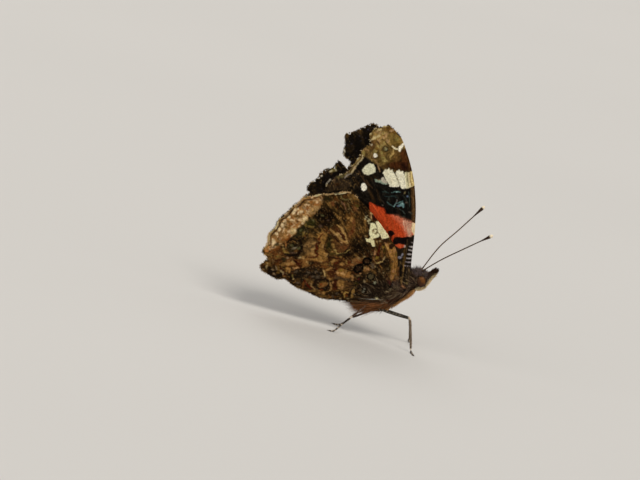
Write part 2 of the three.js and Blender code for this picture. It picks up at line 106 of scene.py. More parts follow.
def set_camera():
    """Looks at the butterfly's right side from a little above, turned with it, through a long lens."""
    c, s = np.cos(VIEW_DOWN), np.sin(VIEW_DOWN)
    right, up, ahead = np.array([(1, 0, 0), (0, s, c), (0, c, -s)])
    across = (PICTURE_SIZE[0] / 2 - CHART_MIDDLE[0]) * CHART_UNIT
    rise = (CHART_MIDDLE[1] - PICTURE_SIZE[1] / 2) * CHART_UNIT
    place = to_world(right * across + up * rise - ahead * CAMERA_DISTANCE)[0]
    axes = to_floor([right, up, -ahead]) - to_floor([(0, 0, 0)])
    data = bpy.data.cameras.new("camera")
    data.sensor_fit = "HORIZONTAL"
    data.sensor_width = SENSOR_WIDTH
    data.lens = SENSOR_WIDTH * CAMERA_DISTANCE / (PICTURE_SIZE[0] * CHART_UNIT)
    data.clip_start, data.clip_end = 0.01, 50
    camera = bpy.data.objects.new("camera", data)
    bpy.context.scene.collection.objects.link(camera)
    camera.matrix_world = Matrix.Translation(Vector(place)) @ Matrix(axes.T.tolist()).to_4x4()
    bpy.context.scene.camera = camera


set_camera()


# Noise and colour

HASH_PRIMES = (374761393, 668265263, 974634777, 1274126177)
WORD = 0xFFFFFFFF


def hashed(x, y, seed):
    """A number from 0 to 1 for each whole point, always the same for the same point and seed."""
    prime_x, prime_y, prime_seed, prime_mix = HASH_PRIMES
    mixed = (x * prime_x + y * prime_y + seed * prime_seed) & WORD
    mixed = ((mixed ^ (mixed >> 13)) * prime_mix) & WORD
    return (mixed ^ (mixed >> 16)) / (WORD + 1)


def smooth_noise(x, y, seed):
    """Noise from -1 to 1 that changes over about one unit."""
    left, low = np.floor(x).astype(np.int64), np.floor(y).astype(np.int64)
    across, up = ramp(x - left, 0, 1), ramp(y - low, 0, 1)
    bottom = hashed(left, low, seed) * (1 - across) + hashed(left + 1, low, seed) * across
    top = hashed(left, low + 1, seed) * (1 - across) + hashed(left + 1, low + 1, seed) * across
    return 2 * (bottom * (1 - up) + top * up) - 1


def rough_noise(x, y, seed, octaves=3):
    """Noise from about -1 to 1 with finer and finer detail."""
    shares = 0.55 ** np.arange(octaves)
    layers = [smooth_noise(x * 2 ** k, y * 2 ** k, seed + 17 * k) for k in range(octaves)]
    return sum(share * layer for share, layer in zip(shares, layers)) / shares.sum() * 1.4


def ramp(value, start, end):
    """0 at start, 1 at end, smooth between."""
    t = np.clip((value - start) / (end - start), 0, 1)
    return t * t * (3 - 2 * t)


def rgb(code):
    """Linear light from a hexadecimal colour."""
    parts = np.array([int(code[i:i + 2], 16) for i in (0, 2, 4)]) / 255
    return np.where(parts <= 0.04045, parts / 12.92, ((parts + 0.055) / 1.055) ** 2.4)


def evenly(code, count):
    return np.tile(rgb(code), (count, 1))


def covered(colours, code, cover):
    """The colours under a coat of one tint, as thick at each of them as cover says, 0 to 1."""
    return colours + (rgb(code) - colours) * cover[:, None]


def nearest_on(points, path, closed=False):
    """For each point the nearest place on the path, how far it is, and how far along the path, 0 to 1."""
    path = np.asarray(path, float)
    ends = np.roll(path, -1, axis=0) if closed else path[1:]
    feet, best, along = points.copy(), np.full(len(points), 1e9), np.zeros(len(points))
    for i, end in enumerate(ends):
        step = end - path[i]
        t = np.clip((points - path[i]) @ step / max(step @ step, 1e-12), 0, 1)
        foot = path[i] + t[:, None] * step
        distance = np.hypot(*(points - foot).T)
        closer = distance < best
        best[closer], feet[closer] = distance[closer], foot[closer]
        along[closer] = (i + t[closer]) / len(ends)
    return feet, best, along


def inside(points, corners):
    """True for each point inside the closed outline."""
    x, y = points.T
    found = np.zeros(len(points), bool)
    corners = np.asarray(corners, float)
    for (ax, ay), (bx, by) in zip(corners, np.roll(corners, -1, axis=0)):
        if ay != by:
            found ^= ((ay > y) != (by > y)) & (x < (bx - ax) * (y - ay) / (by - ay) + ax)
    return found


class Paint:
    """Colour laid on in order at points of the chart. Every edge wavers a little, as that of a mark made of
    wing scales does, and streaks run out from the fan's middle, as the veins do."""

    def __init__(self, chart, fan, ground, seed, waver=0.8):
        self.seed = seed
        x, y = chart.T
        wave = np.stack([rough_noise(x / 4, y / 4, seed + k) for k in (0, 5)], 1)
        fine = np.stack([smooth_noise(x * 1.3, y * 1.3, seed + k) for k in (7, 9)], 1)
        self.points = chart + waver * (wave + 0.45 * fine)
        across, down = (chart - np.asarray(fan, float)).T
        self.reach = np.hypot(across, down)
        self.turn = np.arctan2(-down, across)
        self.colour = evenly(ground, len(chart))

    def near(self, places, margin):
        """The points that a mark can reach."""
        places = np.asarray(places, float).reshape(-1, 2)
        low, high = places.min(0) - margin, places.max(0) + margin
        return np.flatnonzero(((self.points > low) & (self.points < high)).all(1))

    def lay(self, tint, cover, spots=slice(None)):
        self.colour[spots] = covered(self.colour[spots], tint, np.clip(cover, 0, 1))

    def drawn_out(self, length, width, seed):
        """Noise drawn out along the veins."""
        return rough_noise(self.reach / length, self.turn * 60 / width, self.seed + seed)

    def dotted(self, size, seed):
        """Noise that is alike in all directions."""
        x, y = self.points.T / size
        return rough_noise(x, y, self.seed + seed)

    def streaks(self, tint, length, width, low, high, strength=1.0, seed=0, where=1.0):
        """Flecks along the veins, each about length by width, that fade in as the noise rises to high."""
        self.lay(tint, ramp(self.drawn_out(length, width, seed), low, high) * strength * where)

    def flecks(self, tint, size, low, high, strength=1.0, seed=0, where=1.0):
        self.lay(tint, ramp(self.dotted(size, seed), low, high) * strength * where)

    def shade(self, length, width, depth, seed):
        """Lightens and darkens everything in streaks along the veins."""
        self.vary(self.drawn_out(length, width, seed), depth)

    def mottle(self, size, depth, seed):
        """Lightens and darkens everything in spots."""
        self.vary(self.dotted(size, seed), depth)

    def vary(self, value, depth):
        """Pale marks vary less than dark ones."""
        pale = np.clip(self.colour.max(1) / 0.55, 0, 1)
        self.colour *= 1 + (depth * (1 - 0.75 * pale) * np.clip(value, -1, 1.4))[:, None]

    def glaze(self, channels, where=1.0):
        """A clear coat that lets the given shares of red, green and blue through."""
        where = np.broadcast_to(where, len(self.colour))[:, None]
        self.colour *= 1 + (np.asarray(channels) - 1) * where

    def within(self, corners, soft=1.0):
        """1 inside the corners, 0 outside, over a soft edge."""
        spots = self.near(corners, soft)
        points = self.points[spots]
        distance = nearest_on(points, corners, closed=True)[1]
        cover = np.zeros(len(self.points))
        cover[spots] = ramp(np.where(inside(points, corners), distance, -distance), -soft / 2, soft / 2)
        return cover

    def round(self, centre, radii, lean=0.0, soft=0.8):
        """1 inside an ellipse, 0 outside."""
        spots = self.near(centre, max(radii) + soft)
        away = self.points[spots] - np.asarray(centre, float)
        x, y = rotated(*away.T, np.radians(lean))
        cover = np.zeros(len(self.points))
        cover[spots] = ramp((1 - np.hypot(x / radii[0], y / radii[1])) * min(radii), -soft / 2, soft / 2)
        return cover

    def patch(self, tint, corners, soft=1.0, strength=1.0):
        self.lay(tint, self.within(corners, soft) * strength)

    def spot(self, tint, centre, radii, lean=0.0, soft=0.8, strength=1.0):
        self.lay(tint, self.round(centre, radii, lean, soft) * strength)

    def ring(self, tint, centre, radii, width, lean=0.0, soft=0.7, strength=1.0):
        inner = self.round(centre, [radius - width for radius in radii], lean, soft)
        self.lay(tint, (self.round(centre, radii, lean, soft) - inner) * strength)

    def line(self, tint, path, width, soft=0.7, strength=1.0, taper=0.0):
        spots = self.near(path, width / 2 + soft)
        _, distance, along = nearest_on(self.points[spots], path)
        half = width / 2 * (1 - taper * np.abs(2 * along - 1))
        self.lay(tint, ramp(half - distance, -soft / 2, soft / 2) * strength, spots)

    def patches(self, rows, soft=1.8, strength=0.85):
        """Many patches, each a tint and its corners."""
        for tint, *corners in rows:
            self.patch(tint, corners, soft, strength)

    def lines(self, rows, soft=1.2, strength=0.85, taper=0.35):
        """Many lines, each a tint, a width and the points of the line."""
        for tint, width, *path in rows:
            self.line(tint, path, width, soft, strength, taper)

    def spots(self, rows, soft=1.6, strength=0.8):
        """Many spots: after each tint the centre, half length and half breadth of each, and any lean."""
        for tint, *marks in rows:
            for x, y, across, down, *lean in marks:
                edge = min(soft, 1.5 * min(across, down))
                self.spot(tint, (x, y), (across, down), *(lean or [0]), edge, strength)


# Wing shapes, in millimetres

# A point of a wing outline is an angle in degrees from the head's direction and a length from the hinge.
FOREWING_COSTA = [
    (57, 2.1), (71, 3.9), (76, 6), (78.2, 8.8), (80.7, 13.1), (82.4, 16), (84.7, 20), (87.3, 23.7),
    (90.2, 27.6), (91.8, 29.6),
]
FOREWING_INNER_MARGIN = [(134.6, 23.6), (135.6, 18.5), (137, 12.6), (142, 7.5), (160, 2.6)]
WORN_MARGIN = [
    (94.7, 31.5), (96.2, 32.3), (98.8, 32), (101.5, 31.9), (104, 31.1), (103.9, 29), (106.3, 28.9),
    (108.5, 28.4), (109.6, 27.4), (111.3, 27.1), (112.9, 26.4), (114.5, 26.2), (116, 25.5), (117.6, 25.5),
    (120.5, 25.4), (123.9, 25.9), (126.5, 25.4), (128.9, 25.6), (130.6, 24.9), (132.4, 25.1),
]
FRESH_MARGIN = [
    (91.6, 31.2), (93.4, 32.3), (97.3, 31.9), (100.5, 31.6), (104.7, 31.8), (105.6, 30.6), (106.5, 29.6),
    (108.9, 28.3), (108.3, 27.2), (106.8, 26.1), (108.4, 25.5), (110, 25.1), (111, 26.4), (111.2, 27.6),
    (113.6, 27.1), (115.4, 26.7), (117.4, 27.3), (120.6, 27.6), (123.8, 26.9), (127.2, 27.4),
    (130.1, 27.2), (130.4, 26.1), (133, 25.4),
]
HINDWING_OUTLINE = [
    (76, 3.9), (86.7, 7.8), (95.6, 10.5), (102.1, 13.4), (106.4, 15.8), (109.5, 18.2), (113.8, 21.3),
    (116.9, 22.2), (121.3, 22.8), (125, 23.4), (128.8, 24.9), (131.7, 25.1), (134.8, 26.4), (138.5, 26.1),
    (142.1, 26.8), (145.8, 26.7), (149.3, 27.6), (153.1, 27.2), (156.9, 28), (161, 27.3), (164.7, 28.2),
    (167.4, 26), (170.6, 27.9), (173.2, 27.2), (174.5, 25.7), (176.6, 24), (175.7, 22.3), (180.4, 20.3),
    (185.2, 17.1), (190.3, 15.2), (197.2, 10.6), (208, 7.4), (232, 3.2),
]
FOREWING_VEINS = (
    ((78, 2.5), (86.2, 10.8), (89.6, 14.9)),
    ((100, 2.5), (106.4, 7.3), (106.4, 10.4), (101.3, 12.5)),
    ((89.6, 14.9), (91.9, 13.9), (96, 13.4), (101.3, 12.5)),
    ((86.2, 10.8), (85.2, 16), (84.6, 20.2)),
    ((89.6, 14.9), (88.3, 20), (87.5, 24.5)),
    ((89.6, 14.9), (90.4, 21), (90.1, 27.9)),
    ((94, 23), (94.7, 31.9)),
    ((89.6, 14.9), (94, 23), (99, 32.4)),
    ((91.9, 13.9), (98.5, 22), (104.2, 32.2)),
    ((96, 13.4), (108.5, 28.8)),
    ((101.3, 12.5), (111.3, 28)),
    ((106.4, 10.4), (117.5, 27.6)),
    ((106.4, 7.3), (124, 27.6)),
    ((118, 2.8), (132.6, 26.5)),
)
HINDWING_VEINS = (
    ((104, 3.2), (116.9, 22.4)),
    ((122, 3), (127, 6.4), (133.6, 10.6)),
    ((150, 3), (153.6, 8.4), (150.8, 10.2), (147, 12.2)),
    ((127, 6.4), (128.8, 25)),
    ((133.6, 10.6), (134.8, 26.5)),
    ((133.6, 10.6), (138.4, 12.2), (142.1, 27)),
    ((147, 12.2), (149.3, 27.8)),
    ((150.8, 10.2), (156.9, 28.1)),
    ((153.6, 8.4), (164.7, 28.4)),
    ((172, 3), (170.7, 28)),
    ((190, 3.4), (178, 22.4)),
)
FOREWING_HINGE = (2.87, 1.5, 2.28)
HINDWING_HINGE = (0.61, 2.6, 0.98)
FOREWING_LENGTH = 32.3
WING_OPENING = np.radians(4)
BOW = 0.55
WING_STEP = 0.125


def from_hinge(bends):
    angle, length = np.array(bends, float).T
    return np.stack(rotated(length, 0, np.radians(angle)), 1)


def placed(flat, lift, side, hinge, curl=0.0, sweep=0.0, reach=1.0):
    """Points of a wing in the body's frame. flat is measured from the hinge in the wing's own plane. lift is
    how far a point stands out from the plate's middle, towards the outside of the butterfly."""
    across, up = rotated(*flat.T, np.radians(sweep))
    across, up = across * reach, up * reach
    bow = BOW * np.sin(np.pi * np.clip((up + hinge[2]) / FOREWING_LENGTH, 0, 1))
    out, up = rotated(side * (bow - curl * ramp(-up, 0.6, 4.2) + lift), up, -side * WING_OPENING)
    return np.stack([hinge[0] + across, side * hinge[1] + out, hinge[2] + up], 1)


def on_chart(points):
    """Where points of the body's frame show in the right wing's side view."""
    x, y, z = points.T
    down = CHART_MIDDLE[1] - (z * np.cos(VIEW_DOWN) + y * np.sin(VIEW_DOWN)) / CHART_UNIT
    return np.stack([CHART_MIDDLE[0] + x / CHART_UNIT, down], 1)


def charted(flat, hinge, curl=0.0):
    """Where points of a wing are on the chart of marks: each wing is marked as the right one is."""
    return on_chart(placed(flat, 0.0, RIGHT, hinge, curl))


# Wing markings. Places and widths are in chart units.

FOREWING_FAN = (405, 279)
HINDWING_FAN = (394, 286)


# The forewing's underside: the fields and marks of its apex, the worn rim, the bar, the scribbles and base
APEX = [
    (409, 171), (394, 172), (384, 170), (376, 164), (370, 160), (365, 157), (358, 158), (356, 150),
    (364, 146), (364, 120), (385, 112), (410, 115), (418, 150),
]
RUSTY_FIELD = [
    (380, 168), (383, 164.4), (390, 163), (395, 158), (400, 151), (411, 148), (414, 172), (396, 172),
]
APEX_PATCHES = (
    ("8a7144", (373, 135), (380, 130), (388, 134), (391, 146), (386, 146), (378, 146), (374, 142)),
    ("7a6434", (388, 134), (396, 133), (401, 139), (401, 146), (395, 147), (391, 145)),
    ("5c3d18", (385, 127), (390, 127), (396, 131), (402, 138), (399.6, 138.6), (396, 135), (388, 134),
     (384, 131)),
    ("4c321b", (370, 140), (374, 140), (377, 141.6), (374.6, 145), (373.6, 152), (370, 151), (369, 146)),
    ("5a4224", (391, 151), (399, 152), (402, 158), (395, 163), (388, 163), (391, 158)),
    ("4a2a15", (399, 152), (406, 148), (408, 160), (409, 168), (402, 164), (400, 157)),
    ("432411", (390, 163), (396, 162), (401, 163), (401, 168), (394, 169), (389, 167)),
    ("2b140e", (400, 164), (407, 163), (410, 170), (403, 171), (400, 169)),
    ("5c4a28", (378, 156), (386, 158), (388, 163), (381, 165), (377, 161)),
)
APEX_LINES = (
    ("40300f", 1.3, (381.8, 139.6), (386.6, 144.8), (391.4, 150), (396, 152)),
    ("43291a", 1.5, (376.4, 141.4), (378.2, 144), (379.6, 146.6)),
    ("52401f", 1, (378.4, 147), (382, 152), (386, 159)),
    ("a08858", 2.1, (392.6, 150.4), (392.2, 154), (389.6, 157.4)),
    ("b5996c", 1.5, (401.4, 138.4), (402.8, 142), (403.6, 145.6)),
    ("806444", 1.5, (370.8, 153.6), (373, 158.4), (376, 163), (378.6, 168.6), (380, 172)),
    ("7e6546", 1.6, (358, 158.4), (358.8, 153.4), (362, 150), (365.4, 149.4), (368.6, 151)),
    ("503717", 1.3, (407, 150), (408.4, 159), (409.8, 168)),
    ("33200f", 1.4, (405.4, 150), (406.8, 160), (408.4, 169)),
)
APEX_SPOTS = (
    ("c2b38c", (370, 134.6, 1.6, 1.3), (374, 138.2, 1.8, 1.4), (372.4, 140, 2.4, 0.8, 20),
     (383.4, 127, 3, 1), (378.8, 130.8, 2.2, 1.1, 10), (377.6, 137, 1.6, 1, 20)),
    ("a58865", (391, 131.2, 2.8, 1.1, 25), (379.6, 134, 2.2, 1, 20), (384.6, 134.4, 2.8, 0.7),
     (382.8, 138, 1.8, 1.4), (385.4, 136.4, 1.4, 1.8), (376.4, 132.6, 1.8, 1, 20),
     (378.4, 141.2, 1.6, 1.5), (386.8, 142, 1.6, 2)),
    ("9a8a58", (382.6, 134.2, 2.2, 0.9), (384, 144, 1.4, 1.6), (381.6, 146.6, 1.8, 1),
     (378.6, 147.6, 2, 1.2, -30), (384.4, 161, 2.6, 1.4), (375.2, 151.4, 1.8, 1.4)),
    ("6f5326", (371.6, 137.2, 0.9, 1.3, 30), (383.4, 136.4, 1.6, 0.8, 10), (388.6, 127.4, 0.9, 1.6),
     (386, 130.4, 2.6, 1), (394, 133.6, 2.6, 1.1), (376.4, 149.6, 1.8, 0.9)),
    ("4a3a16", (387.8, 154.2, 1.4, 1.2), (391.4, 157.2, 1.8, 0.8, 35), (390.4, 161.4, 1.6, 1),
     (379.4, 161.6, 1.6, 1.2), (384.4, 152.6, 1.2, 0.9), (392.6, 146.6, 1.3, 0.9),
     (397.8, 145.4, 2, 1.3, 20), (378.2, 153.4, 1.4, 0.8), (374.6, 163.4, 1.4, 1.4)),
    ("b5ad9c", (370.9, 145.4, 0.9, 1.2)),
    ("756a3e", (381.4, 153.4, 1.4, 2), (374.8, 154, 1.8, 1.4), (382.4, 158.4, 2.2, 1.2),
     (363.2, 154, 1.3, 2.4, 15), (396.4, 140.4, 2.2, 1.8)),
    ("33240f", (373.4, 158.6, 2.6, 0.9), (366, 154.4, 1, 1.8), (367.6, 149.4, 1.4, 1)),
)
RIM_PATCHES = (
    ("6e5a34", (346, 174), (350, 167), (357, 158), (361, 155), (363, 158), (360, 162), (355, 167),
     (352, 174)),
    ("5f5634", (335, 177), (341, 173), (349, 172), (350, 175), (344, 178), (338, 179)),
    ("33271a", (324, 186), (331, 181), (342, 178), (352, 182), (346, 191), (324, 192)),
    ("5a4630", (332, 178), (335, 176.6), (336.6, 179), (334.6, 181), (332.4, 180.4)),
)
RIM_LINES = (
    ("b5a47c", 1.5, (350.6, 174.6), (352.6, 170.6), (355.4, 167), (358, 163), (360.6, 161), (362.2, 158.4),
     (362.2, 155.6)),
    ("5b431b", 1.2, (351.4, 161.4), (353.6, 163.6), (355.4, 166)),
    ("8c7648", 1.6, (348.6, 171.4), (351, 167), (355.4, 162.4), (359, 159)),
    ("82776a", 1.9, (350.4, 174.4), (347.4, 176.2), (344.4, 178)),
    ("aaa290", 1.7, (330.2, 180.4), (328.2, 182), (326.4, 184)),
    ("46321f", 0.8, (358, 171), (361.6, 177), (365.4, 182.6), (369, 186)),
    ("44301e", 0.9, (366.4, 180.4), (368.6, 183.4), (372, 188)),
)
RIM_SPOTS = (
    ("c6bb9a", (343.4, 171.8, 1.2, 0.9), (340.4, 173.6, 2, 1.1, 15), (328.2, 182.2, 0.8, 1),
     (357, 158.4, 1.4, 1.1)),
    ("9c8565", (346.6, 172.6, 2.2, 1), (354.4, 168.6, 1.6, 1.2), (331.6, 180.8, 1.2, 0.8)),
    ("33200f", (348.4, 172.6, 0.8, 0.8), (359.4, 156.4, 0.8, 1.4), (337, 184.6, 2.4, 1.6)),
)
BAR_PATCHES = (
    ("d0cdb1", (361.9, 170.6), (363.5, 168), (365.8, 166), (369.4, 163.9), (373, 164.6), (375.2, 168.2),
     (374.9, 172), (372, 174.4), (368.2, 175.4), (364, 174.6)),
    ("83907f", (374.2, 179.8), (378, 180.8), (381.2, 181), (387, 184), (385, 185.2), (378, 183.2),
     (375, 182.4)),
    ("a9a292", (380.4, 181), (381.2, 178.2), (383, 177.2), (386.6, 182.6), (385.4, 184), (382, 183)),
    ("dbd7bd", (382.6, 172.8), (385.3, 169.4), (386.8, 170.4), (388.4, 169), (389.6, 170.6),
     (391.4, 170.2), (394.6, 176), (399.1, 185.4), (398.3, 187), (393.1, 187.5), (389.4, 186.4),
     (385.8, 181)),
    ("e0dcc4", (394.6, 173.4), (396.2, 171), (398.3, 170), (400, 171.6), (402.3, 171.2), (404.8, 177.4),
     (407.4, 187.4), (404.1, 189.2), (400.4, 188.5), (398, 182.2)),
    ("ccc6a2", (404, 172.6), (406.2, 172.4), (408.6, 187.8), (406, 188.6)),
    ("d2c399", (406.8, 172.4), (409.2, 172.2), (411, 187), (408.6, 187.6)),
    ("cdb87c", (409.4, 171.6), (411.8, 171.8), (414.4, 185.6), (411.4, 186.6)),
)
BAR_LINES = (
    ("77704a", 0.9, (405.8, 172), (406.8, 179), (408, 186)),
    ("8a6c39", 0.9, (409.2, 172), (409.8, 179), (411.2, 186)),
    ("9c7c48", 0.9, (411.8, 173), (412.8, 179), (414, 185)),
    ("8d8264", 1, (394.6, 174.6), (396.6, 179), (398.8, 184.6)),
    ("f0e8d2", 0.9, (389.4, 186.6), (393, 187), (398, 186.8)),
    # A black line along the lower edge of the grey-blue patch and the white bar, a painted shadow.
    ("0a0b0c", 1.6, (375, 184), (380, 184.8), (385.6, 186.4), (390, 188.6), (398.6, 188), (404, 190.4)),
)
BAR_SPOTS = (
    ("8f7550", (378, 180.6, 1.4, 0.7)),
    ("b9bda0", (366.4, 171, 2.2, 1.4), (371, 167.4, 1.2, 1.8), (369.4, 172.6, 1.4, 0.8)),
    ("c8bda0", (386, 174, 1.6, 1.2), (391.4, 181, 1.4, 2.4), (400.6, 176.4, 1.4, 1.2)),
)
SCRIBBLE_LINES = (
    ("58746f", 0.9, (391.4, 192.8), (394.4, 192), (397, 191.6), (399.4, 192.2)),
    ("2f403c", 0.9, (382, 192), (385.4, 191.6), (388.4, 193)),
    ("2c3c3a", 0.9, (385, 196), (388, 197.4), (392.6, 196.4), (397, 197.6)),
    ("49625e", 0.8, (386.6, 202), (389, 203.8), (391.4, 205.6), (393.6, 207.2)),
    ("73908f", 1, (393.6, 207.2), (395, 205.4), (396, 203.4)),
    ("6c6a66", 0.8, (396, 203.4), (397, 201.2), (397, 199.4)),
    ("5f8382", 0.8, (396.6, 203.6), (399, 202.8), (402.4, 201.8)),
    ("3d4a42", 0.7, (408.4, 192), (408.6, 199), (408.8, 207.6)),
    ("2e3832", 0.7, (402.6, 196), (405.4, 199), (407, 203)),
    ("454f48", 0.7, (399, 209.4), (402.4, 211), (404.6, 214)),
    ("3a3226", 0.8, (379, 196), (380.4, 200), (383.4, 203.4)),
)
SCRIBBLE_SPOTS = (
    ("658688", (401.2, 204.8, 2.5, 1.4, 15), (403, 206.4, 1, 1.2), (399, 205.6, 1, 1)),
    ("8fb0ae", (402, 204, 1, 0.8), (396.4, 191.8, 1, 0.5)),
    ("5d6f86", (397.8, 206.4, 0.9, 0.8), (406.8, 196.4, 0.8, 0.8)),
    ("7a6c47", (404.4, 193.4, 0.7, 1.3, -30)),
    ("54483c", (405.6, 202.4, 0.9, 0.9), (382.2, 205.4, 0.8, 0.8), (409.6, 212.4, 0.8, 0.8)),
    ("30342c", (388, 199.4, 1.2, 0.9), (411, 213.8, 0.8, 1), (403, 216.6, 1.4, 0.8)),
)
BASE_LINES = (
    ("59431f", 1.6, (404.4, 248), (403.6, 257), (402.6, 265), (401, 273), (399.8, 283)),
    ("4a3822", 1.3, (407, 240), (406.4, 250), (405, 258), (403.8, 266)),
    ("7b6340", 1.7, (400.4, 262), (400.2, 268), (399.6, 275)),
    ("4d4740", 1.4, (404.4, 271.4), (402.8, 276), (402, 281)),
    ("7a6248", 1.5, (407.6, 272), (407.4, 277), (407, 283)),
    ("7a6450", 0.9, (401.4, 279), (401, 283)),
    ("54483c", 1, (404.6, 277.4), (404.4, 280.4)),
)
BASE_SPOTS = (
    ("85838f", (399.6, 257.4, 1.9, 1.6), (401.8, 255, 1.6, 0.8, 45)),
    ("6a5c6c", (406.8, 266.8, 1.2, 0.8), (404.6, 266.4, 1.4, 0.8)),
    ("6c6444", (406, 270.6, 1.4, 0.9)),
    ("14100a", (398.4, 262, 1, 2.4), (400, 252.4, 1.8, 2)),
)


BAR_SPACING = 3.95


def costal_bars(p):
    """Short pale bars across the leading edge near the base, wider towards the hinge."""
    edge = [(409, 238), (415, 237), (413.6, 252), (411.8, 269), (404.6, 268.4), (406.6, 252)]
    p.patch("17110c", edge, 0.8)
    for bar in range(7):
        drop = BAR_SPACING * bar
        height = 242.6 + drop
        middle = 412.16 - 0.2 * drop
        half = 1.2 + 0.09 * drop
        tint = "6f6866" if bar == 0 else "aaa3a1" if bar < 5 else "8f8688"
        p.line(tint, [(middle - half, height - 0.35), (middle + half, height + 0.35)], 1.4, 1.0, 0.9, 0.4)


RED_BAND = [
    (368.6, 202.4), (371.4, 203.2), (377, 206.2), (383.4, 208.4), (385.4, 213.8), (391, 214.6), (398.4, 217),
    (405, 221), (411.8, 222.6), (416.5, 224), (416, 233.4), (409.5, 236.6), (403, 237.4), (395, 237),
    (392.6, 242), (390, 243), (380, 238), (370, 215),
]
FOREWING_BASE = [
    (389, 243.4), (395, 245), (404, 244.4), (411, 238), (416.6, 235), (412, 289), (388, 290), (380, 262),
]


def forewing_under(chart, rim, seed, worn=True):
    """Dark, with a brown and olive apex, a white bar, the red band and a scribbled base."""
    p = Paint(chart, FOREWING_FAN, "110d09", seed, 0.6)
    p.streaks("33230f", 14, 2.4, 0.05, 0.7, 0.6, 1)
    p.flecks("26211a", 2.6, 0.1, 0.8, 0.5, 2)
    apex = p.within(APEX, 3)
    p.lay("665230", apex)
    p.streaks("8f7a4c", 9, 2.2, 0.0, 0.6, 0.7, 3, apex)
    p.streaks("403015", 7, 1.6, 0.15, 0.7, 0.75, 4, apex)
    rusty = p.within(RUSTY_FIELD, 4)
    p.lay("2f1b0b", rusty * 0.9)
    p.streaks("241307", 8, 2.0, 0.0, 0.6, 0.7, 5, rusty)
    p.patches(APEX_PATCHES, 2.6, 0.75)
    p.spots(APEX_SPOTS, 1.6, 0.85)
    p.lines(APEX_LINES, 1.1, 0.85)
    p.glaze((0.96, 0.92, 0.78), apex)
    p.patches(RIM_PATCHES, 2, 0.7)
    worn_rim = p.within([(320, 192), (330, 178), (356, 168), (364, 176), (352, 192)], 4)
    p.flecks("6b5432", 1.4, 0.2, 0.8, 0.6, 19, worn_rim)
    p.lines(RIM_LINES, 1.1, 0.85, 0.2)
    p.spots(RIM_SPOTS, 1.2, 0.9)
    # An eye with a green middle, and the dark field with its scribbles
    p.spot("605a3c", (385.2, 149.8), (2.2, 1.9), 0, 1.2, 0.8)
    p.ring("281f10", (385, 149.6), (3.1, 2.7), 1.1, 0, 0.9, 0.85)
    p.spot("77765a", (386, 150.2), (0.9, 0.7), 0, 0.8, 0.8)
    p.patch("0c0b09", [(376, 187), (390, 188.5), (411, 189), (411.5, 222), (400, 217), (386, 213),
                       (381, 205)], 4, 0.8)
    p.flecks("23221a", 2.2, 0.15, 0.8, 0.6, 6, p.within([(378, 186), (408, 190), (407, 214), (384, 208)], 4))
    p.patch("46311a", [(410.2, 187.4), (415.6, 185), (417, 223), (411.4, 222)], 1.6, 0.95)
    p.line("5f462b", [(412.6, 189), (412.8, 205), (413, 220)], 1.0, 1.0, 0.8)
    p.line("33200a", [(414.4, 189), (415.2, 205), (415.2, 220)], 0.9, 0.9, 0.8)
    # The red band, washed out towards the leading edge
    red = p.within(RED_BAND, 0.9)
    p.lay("aa3d1b", red)
    p.streaks("923514", 18, 2.6, 0.0, 0.7, 0.35, 11, red)
    p.streaks("bc5431", 10, 2.2, 0.2, 0.8, 0.3, 12, red)
    p.patch("bd7358", [(391, 215.6), (398, 216), (405, 220), (411, 222), (410, 236), (406, 237), (404, 230),
                       (399, 223)], 5, 0.6)
    p.patch("b08a74", [(403, 220), (412, 223), (411.4, 236), (408, 237), (406, 229)], 3, 0.75)
    washed = p.within([(395, 216), (412, 222), (411, 237), (407, 237)], 3)
    p.streaks("d6b79c", 7, 1.4, 0.2, 0.7, 0.6, 13, washed)
    p.patch("d9c49b", [(411.6, 223.2), (415.8, 223.6), (415.6, 232), (413.6, 235.6), (411.2, 231)], 1.2,
            0.95)
    p.lines((("8c3a18", 0.9, (384.6, 211), (386, 220), (388.6, 230)),
             ("a04a24", 0.8, (391.4, 216), (392, 224), (393.4, 232)),
             ("5e160b", 0.9, (371, 203), (377, 206), (383.6, 208.4), (385.2, 213.6), (391, 214.6))),
            1.0, 0.7)
    p.spot("160908", (390.8, 233.4), (3.4, 3.0), -12, 1.0)
    p.patch("22100a", [(389, 234), (392, 235), (391.4, 241), (389.4, 242)], 1.2, 0.9)
    p.patch("110908", [(393, 243.4), (393.4, 238.8), (397, 236.9), (401.6, 237.6), (407.6, 236.4),
                       (410.5, 236.8), (411, 246), (404, 244.6), (397, 244.2)], 1.1)
    # The base below it
    base = p.within(FOREWING_BASE, 1.4)
    p.lay("1c150d", base * 0.95)
    p.streaks("4a3822", 7, 1.6, 0.1, 0.7, 0.7, 14, base)
    p.patch("5d4a32", [(399, 264), (404, 266), (405, 272), (408, 272), (407, 286), (397, 287)], 2.4, 0.7)
    p.patch("b34a28", [(394.8, 244.6), (398, 243.8), (401, 244.8), (404.4, 244.6), (404, 246.6), (401, 248),
                       (397.6, 247.6)], 1.0)
    p.spot("b59c92", (404.6, 246), (1.1, 1.2), 0, 1.0, 0.8)
    p.lines(BASE_LINES, 1.2, 0.75)
    p.spots(BASE_SPOTS, 1.2, 0.9)
    if not worn:
        x, y = chart.T
        p.lay("a99c7c", ramp(1.1 - rim, 0, 1) * (rough_noise(x / 3, y / 3, seed + 21) > 0.1) * (x < 400))
    p.shade(6, 1.1, 0.5, 16)
    p.mottle(1.8, 0.45, 17)
    p.mottle(0.8, 0.3, 18)
